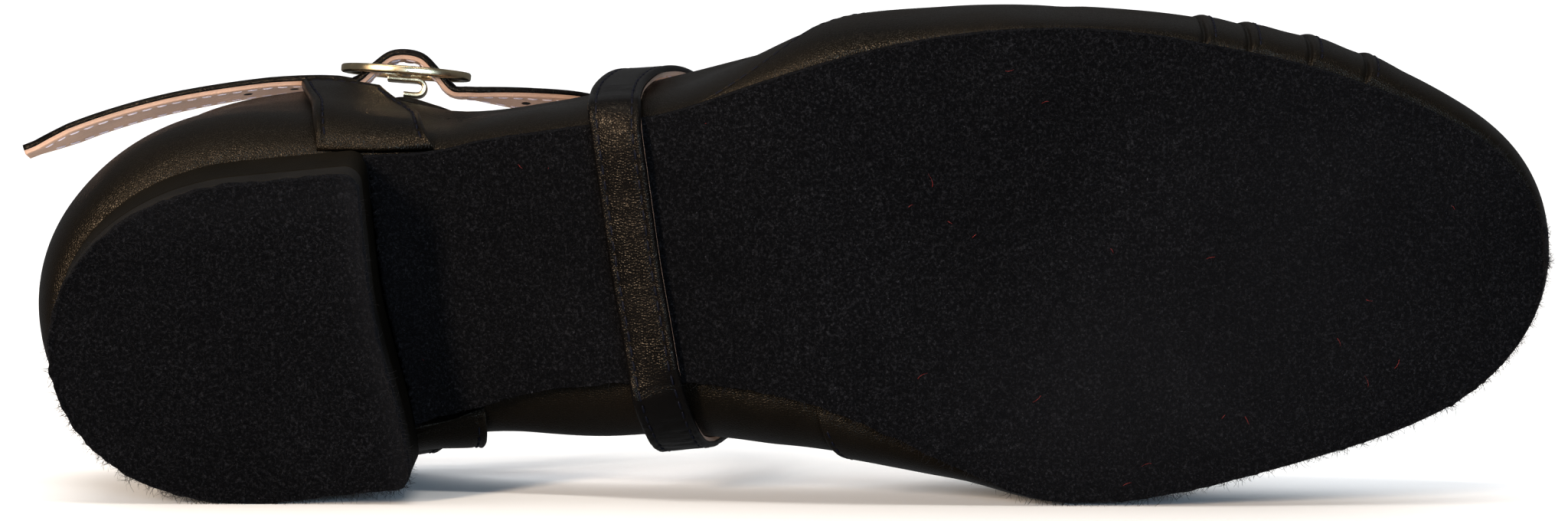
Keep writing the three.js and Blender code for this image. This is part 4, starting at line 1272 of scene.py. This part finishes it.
def build_slab(name, x, y, low, thick, edge, material, node, slot, nap=0.0, rag=0.0):
    """A slab between its underside and its top, with softened sides."""
    columns = x.shape[1]
    bottom = np.stack([x, y, low(x)], -1)
    if nap:
        bottom[..., 2] += np.abs(lumps(x.shape, 1) * nap + lumps(x.shape, 4) * nap * 0.6)
        bottom[..., 1] += lumps(x.shape, 1) * rag * np.abs(np.linspace(-1, 1, columns)) ** 12
    sides = []
    for j in (columns - 1, 0):
        side_x, side_y = x[:, j:j + 1], y[:, j:j + 1]
        away = np.sign(side_y - centre_at(x[:, :1]))
        steps = []
        for up in (0.08, 0.22, 0.5, 0.78, 0.92):
            ragged = rng.normal(0, rag * 0.6, side_y.shape) if rag else 0
            steps.append(np.stack([side_x, side_y - away * edge_inset(up, thick, edge) + ragged,
                                   low(side_x) + thick * up], -1))
        sides.append(np.concatenate(steps if j else steps[::-1], 1))
    chosen = np.linspace(columns - 1, 0, 9).astype(int)
    top = np.stack([x, y, low(x) + thick], -1)[:, chosen]
    points, faces = loft(np.concatenate([bottom, sides[0], top, sides[1]], 1))
    return make_piece(name, points, faces, [material], None, node, slot), bottom, points


def halo(points, x, y, across_x, across_y):
    """A round worn place of the sole, 1 in its middle."""
    return hollow(points[:, 0] - x, across_x) * hollow(points[:, 1] - y, across_y)


sole_x, sole_y = slab_grid(360, 120, float(breast_x(0)) + SEAM, SHOE_LENGTH - 0.15, 0, sole_back)
sole, sole_face, sole_points = build_slab("sole_nap", sole_x, sole_y, sole_bottom, SOLE_THICKNESS, 0.4,
                                          SUEDE, "outsole", "sole_suede", 0.045, 0.12)
paint_worn(sole, 0.22 * halo(sole_points, 182, 22, 30, 20) + 0.15 * halo(sole_points, 215, -4, 26, 26)
           + 0.1 * hollow(sole_points[:, 0] - 60, 5))

sock_inset = FELT_INSET + UPPER_WALL + SEAM + INSOLE_PLAY
sock_x, sock_y = slab_grid(120, 26, INSOLE_BACK, SHOE_LENGTH - INSOLE_BACK, sock_inset)
build_slab("insole_sock", sock_x, sock_y, lambda x: sole_top(x) + SEAM, INSOLE_THICKNESS, 0.4,
           NUDE, "insole", "lining")


# Loose fibres of the nap

def scatter(face, count):
    """Random places on a grid of points, spread evenly over its area."""
    a, b, c = face[:-1, :-1], face[1:, :-1], face[:-1, 1:]
    area = np.linalg.norm(np.cross(b - a, c - a), axis=-1).ravel()
    pick = rng.choice(len(area), count, p=area / area.sum())
    i, j = np.unravel_index(pick, a.shape[:2])
    u, v = rng.random((2, count, 1))
    return face[i, j] + (face[i + 1, j] - face[i, j]) * u + (face[i, j + 1] - face[i, j]) * v


def edge_fibres(name, line, middle_x, middle_y, count, longest, chance):
    """Frayed fibres along an edge, where it is likely, leaning away from a middle line."""
    pick = rng.choice(len(line), count, p=chance / chance.sum())
    spot = line[pick]
    middle = np.column_stack([np.clip(spot[:, 0], *middle_x), middle_y(spot[:, 0]), spot[:, 2]])
    away = unit(spot - middle) * [1, 1, 0]
    roots = spot - away * 0.25 + rng.normal(0, 0.15, (count, 3))
    normals = unit(away * 0.7 + np.array([0, 0, -0.7]) + rng.normal(0, 0.25, (count, 3)))
    fibres(name, roots, normals, FIBRE, (0.5, longest), 0.04, 0.55, away * 0.9)


def face_fibres(name, face, count, material, length, radius, lift):
    """Fibres all over a napped face, which looks down."""
    roots = scatter(face, count)
    fibres(name, roots, np.tile([0.0, 0.0, -1.0], (count, 1)), material, length, radius, lift)


for label, face, count in (("sole", sole_face, 5200), ("pad", pad_face, 2200)):
    face_fibres(label + "_fibres", face, count, FIBRE, (0.7, 1.8), 0.03, 0.22)
    face_fibres(label + "_lint", face, count // 14, LINT, (0.5, 1.6), 0.03, 0.25)
face_fibres("red_fibres", sole_face, 26, RED_FIBRE, (0.8, 1.8), 0.035, 0.3)

sole_edge = np.concatenate([sole_face[:, 0], sole_face[:, -1], sole_face[-1]])
x, y, _ = sole_edge.T
edge_fibres("sole_fray", sole_edge, (70, 205), centre_at, 2100, 1.7,
            0.35 + smooth((x - 110) / 60) * (1 + 1.6 * (y > 0)))
pad_edge = np.concatenate([pad_face[-1], pad_wall[1]])
x, y, _ = pad_edge.T
edge_fibres("pad_fray", pad_edge, (30, 45), lambda x: 0 * x, 1100, 1.9,
            0.4 + 1.6 * (y > 5) + 0.5 * (x < 20))


# The camera, the floor and the lights

CAMERA_DISTANCE = 1050
PIXELS_PER_MM = 7.81
CAMERA_TILT = 10.0
CAMERA_ROLL = 5.4
IMAGE_WIDTH = 2048
SENSOR_WIDTH = 36
AIM = (125.1, -5.8, 0)


def build_camera():
    """The photograph's view: nearly square on to the sole, from a little to the lateral side."""
    tilt, roll = math.radians(CAMERA_TILT), math.radians(CAMERA_ROLL)
    back = np.array([0, -math.sin(tilt), -math.cos(tilt)])
    upright = np.array([0, -math.cos(tilt), math.sin(tilt)])
    level = np.array([1.0, 0, 0])
    right = level * math.cos(roll) - upright * math.sin(roll)
    up = upright * math.cos(roll) + level * math.sin(roll)
    matrix = Matrix.Identity(4)
    for i, axis in enumerate((right, up, back)):
        matrix.col[i][:3] = Vector(REST[:3, :3] @ axis).normalized()
    matrix.translation = Vector(place(np.array(AIM) + back * CAMERA_DISTANCE)[0])
    camera = bpy.data.objects.new("camera", bpy.data.cameras.new("camera"))
    camera.matrix_world = matrix
    camera.data.sensor_fit = "HORIZONTAL"
    camera.data.sensor_width = SENSOR_WIDTH
    camera.data.lens = SENSOR_WIDTH * PIXELS_PER_MM * CAMERA_DISTANCE / IMAGE_WIDTH
    camera.data.clip_end = 20
    bpy.context.scene.collection.objects.link(camera)
    bpy.context.scene.camera = camera


def build_floor():
    """A wide pale floor that curves up far behind the shoe and doesn't show in its gloss."""
    material, tree, shader, where = new_material("floor_white")
    put(tree, shader, {"Base Color": (0.92, 0.92, 0.92, 1), "Roughness": 0.6})
    size, back, bend, height = 8.0, 6.0, 1.5, 4.0
    angles = np.pi / 2 * np.arange(17) / 16
    profile = [(-size, 0.0)] + [(back + bend * math.sin(a), bend * (1 - math.cos(a))) for a in angles]
    profile.append((back + bend, height))
    points = [(x, y, z) for y, z in profile for x in (-size, size)]
    faces = [(2 * i, 2 * i + 1, 2 * i + 3, 2 * i + 2) for i in range(len(profile) - 1)]
    mesh = bpy.data.meshes.new("floor")
    mesh.from_pydata(points, [], faces)
    mesh.materials.append(material)
    mesh.polygons.foreach_set("use_smooth", [True] * len(faces))
    floor = bpy.data.objects.new("floor", mesh)
    floor.visible_glossy = False
    bpy.context.scene.collection.objects.link(floor)


def area_light(name, spot, aim, size, power, colour=(1, 1, 1)):
    data = bpy.data.lights.new(name, "AREA")
    data.shape = "RECTANGLE"
    data.size, data.size_y = size
    data.energy = power
    data.color = colour
    light = bpy.data.objects.new(name, data)
    light.location = spot
    light.rotation_euler = (Vector(aim) - Vector(spot)).to_track_quat("-Z", "Y").to_euler()
    bpy.context.scene.collection.objects.link(light)
    return light


def build_light():
    """A bright room overhead and behind, dim towards the sole, as in the photograph."""
    world = bpy.data.worlds.new("world")
    world.use_nodes = True
    sky = world.node_tree.nodes["Background"]
    sky.inputs["Color"].default_value = (0.95, 0.97, 1.0, 1)
    sky.inputs["Strength"].default_value = 0.10
    bpy.context.scene.world = world
    overhead = area_light("overhead", (0.0, 3.9, 2.2), (0, 3.9, 0), (9.0, 9.0), 340)
    overhead.visible_glossy = False
    area_light("strip", (-0.1, -0.25, 0.9), (0, 0, 0.06), (0.9, 0.10), 3.0, (1.0, 0.93, 0.84))
    area_light("front_left", (-0.72, -1.0, 0.38), (-0.03, 0, 0.04), (0.16, 0.4), 19.0, (1.0, 0.80, 0.62))
    area_light("front_right", (0.35, -1.1, 0.20), (0.05, 0, 0.04), (0.6, 0.16), 7.0, (0.55, 0.76, 1.0))
    view = bpy.context.scene.view_settings
    view.view_transform = "Standard"
    view.exposure = 0.3


build_camera()
build_floor()
build_light()
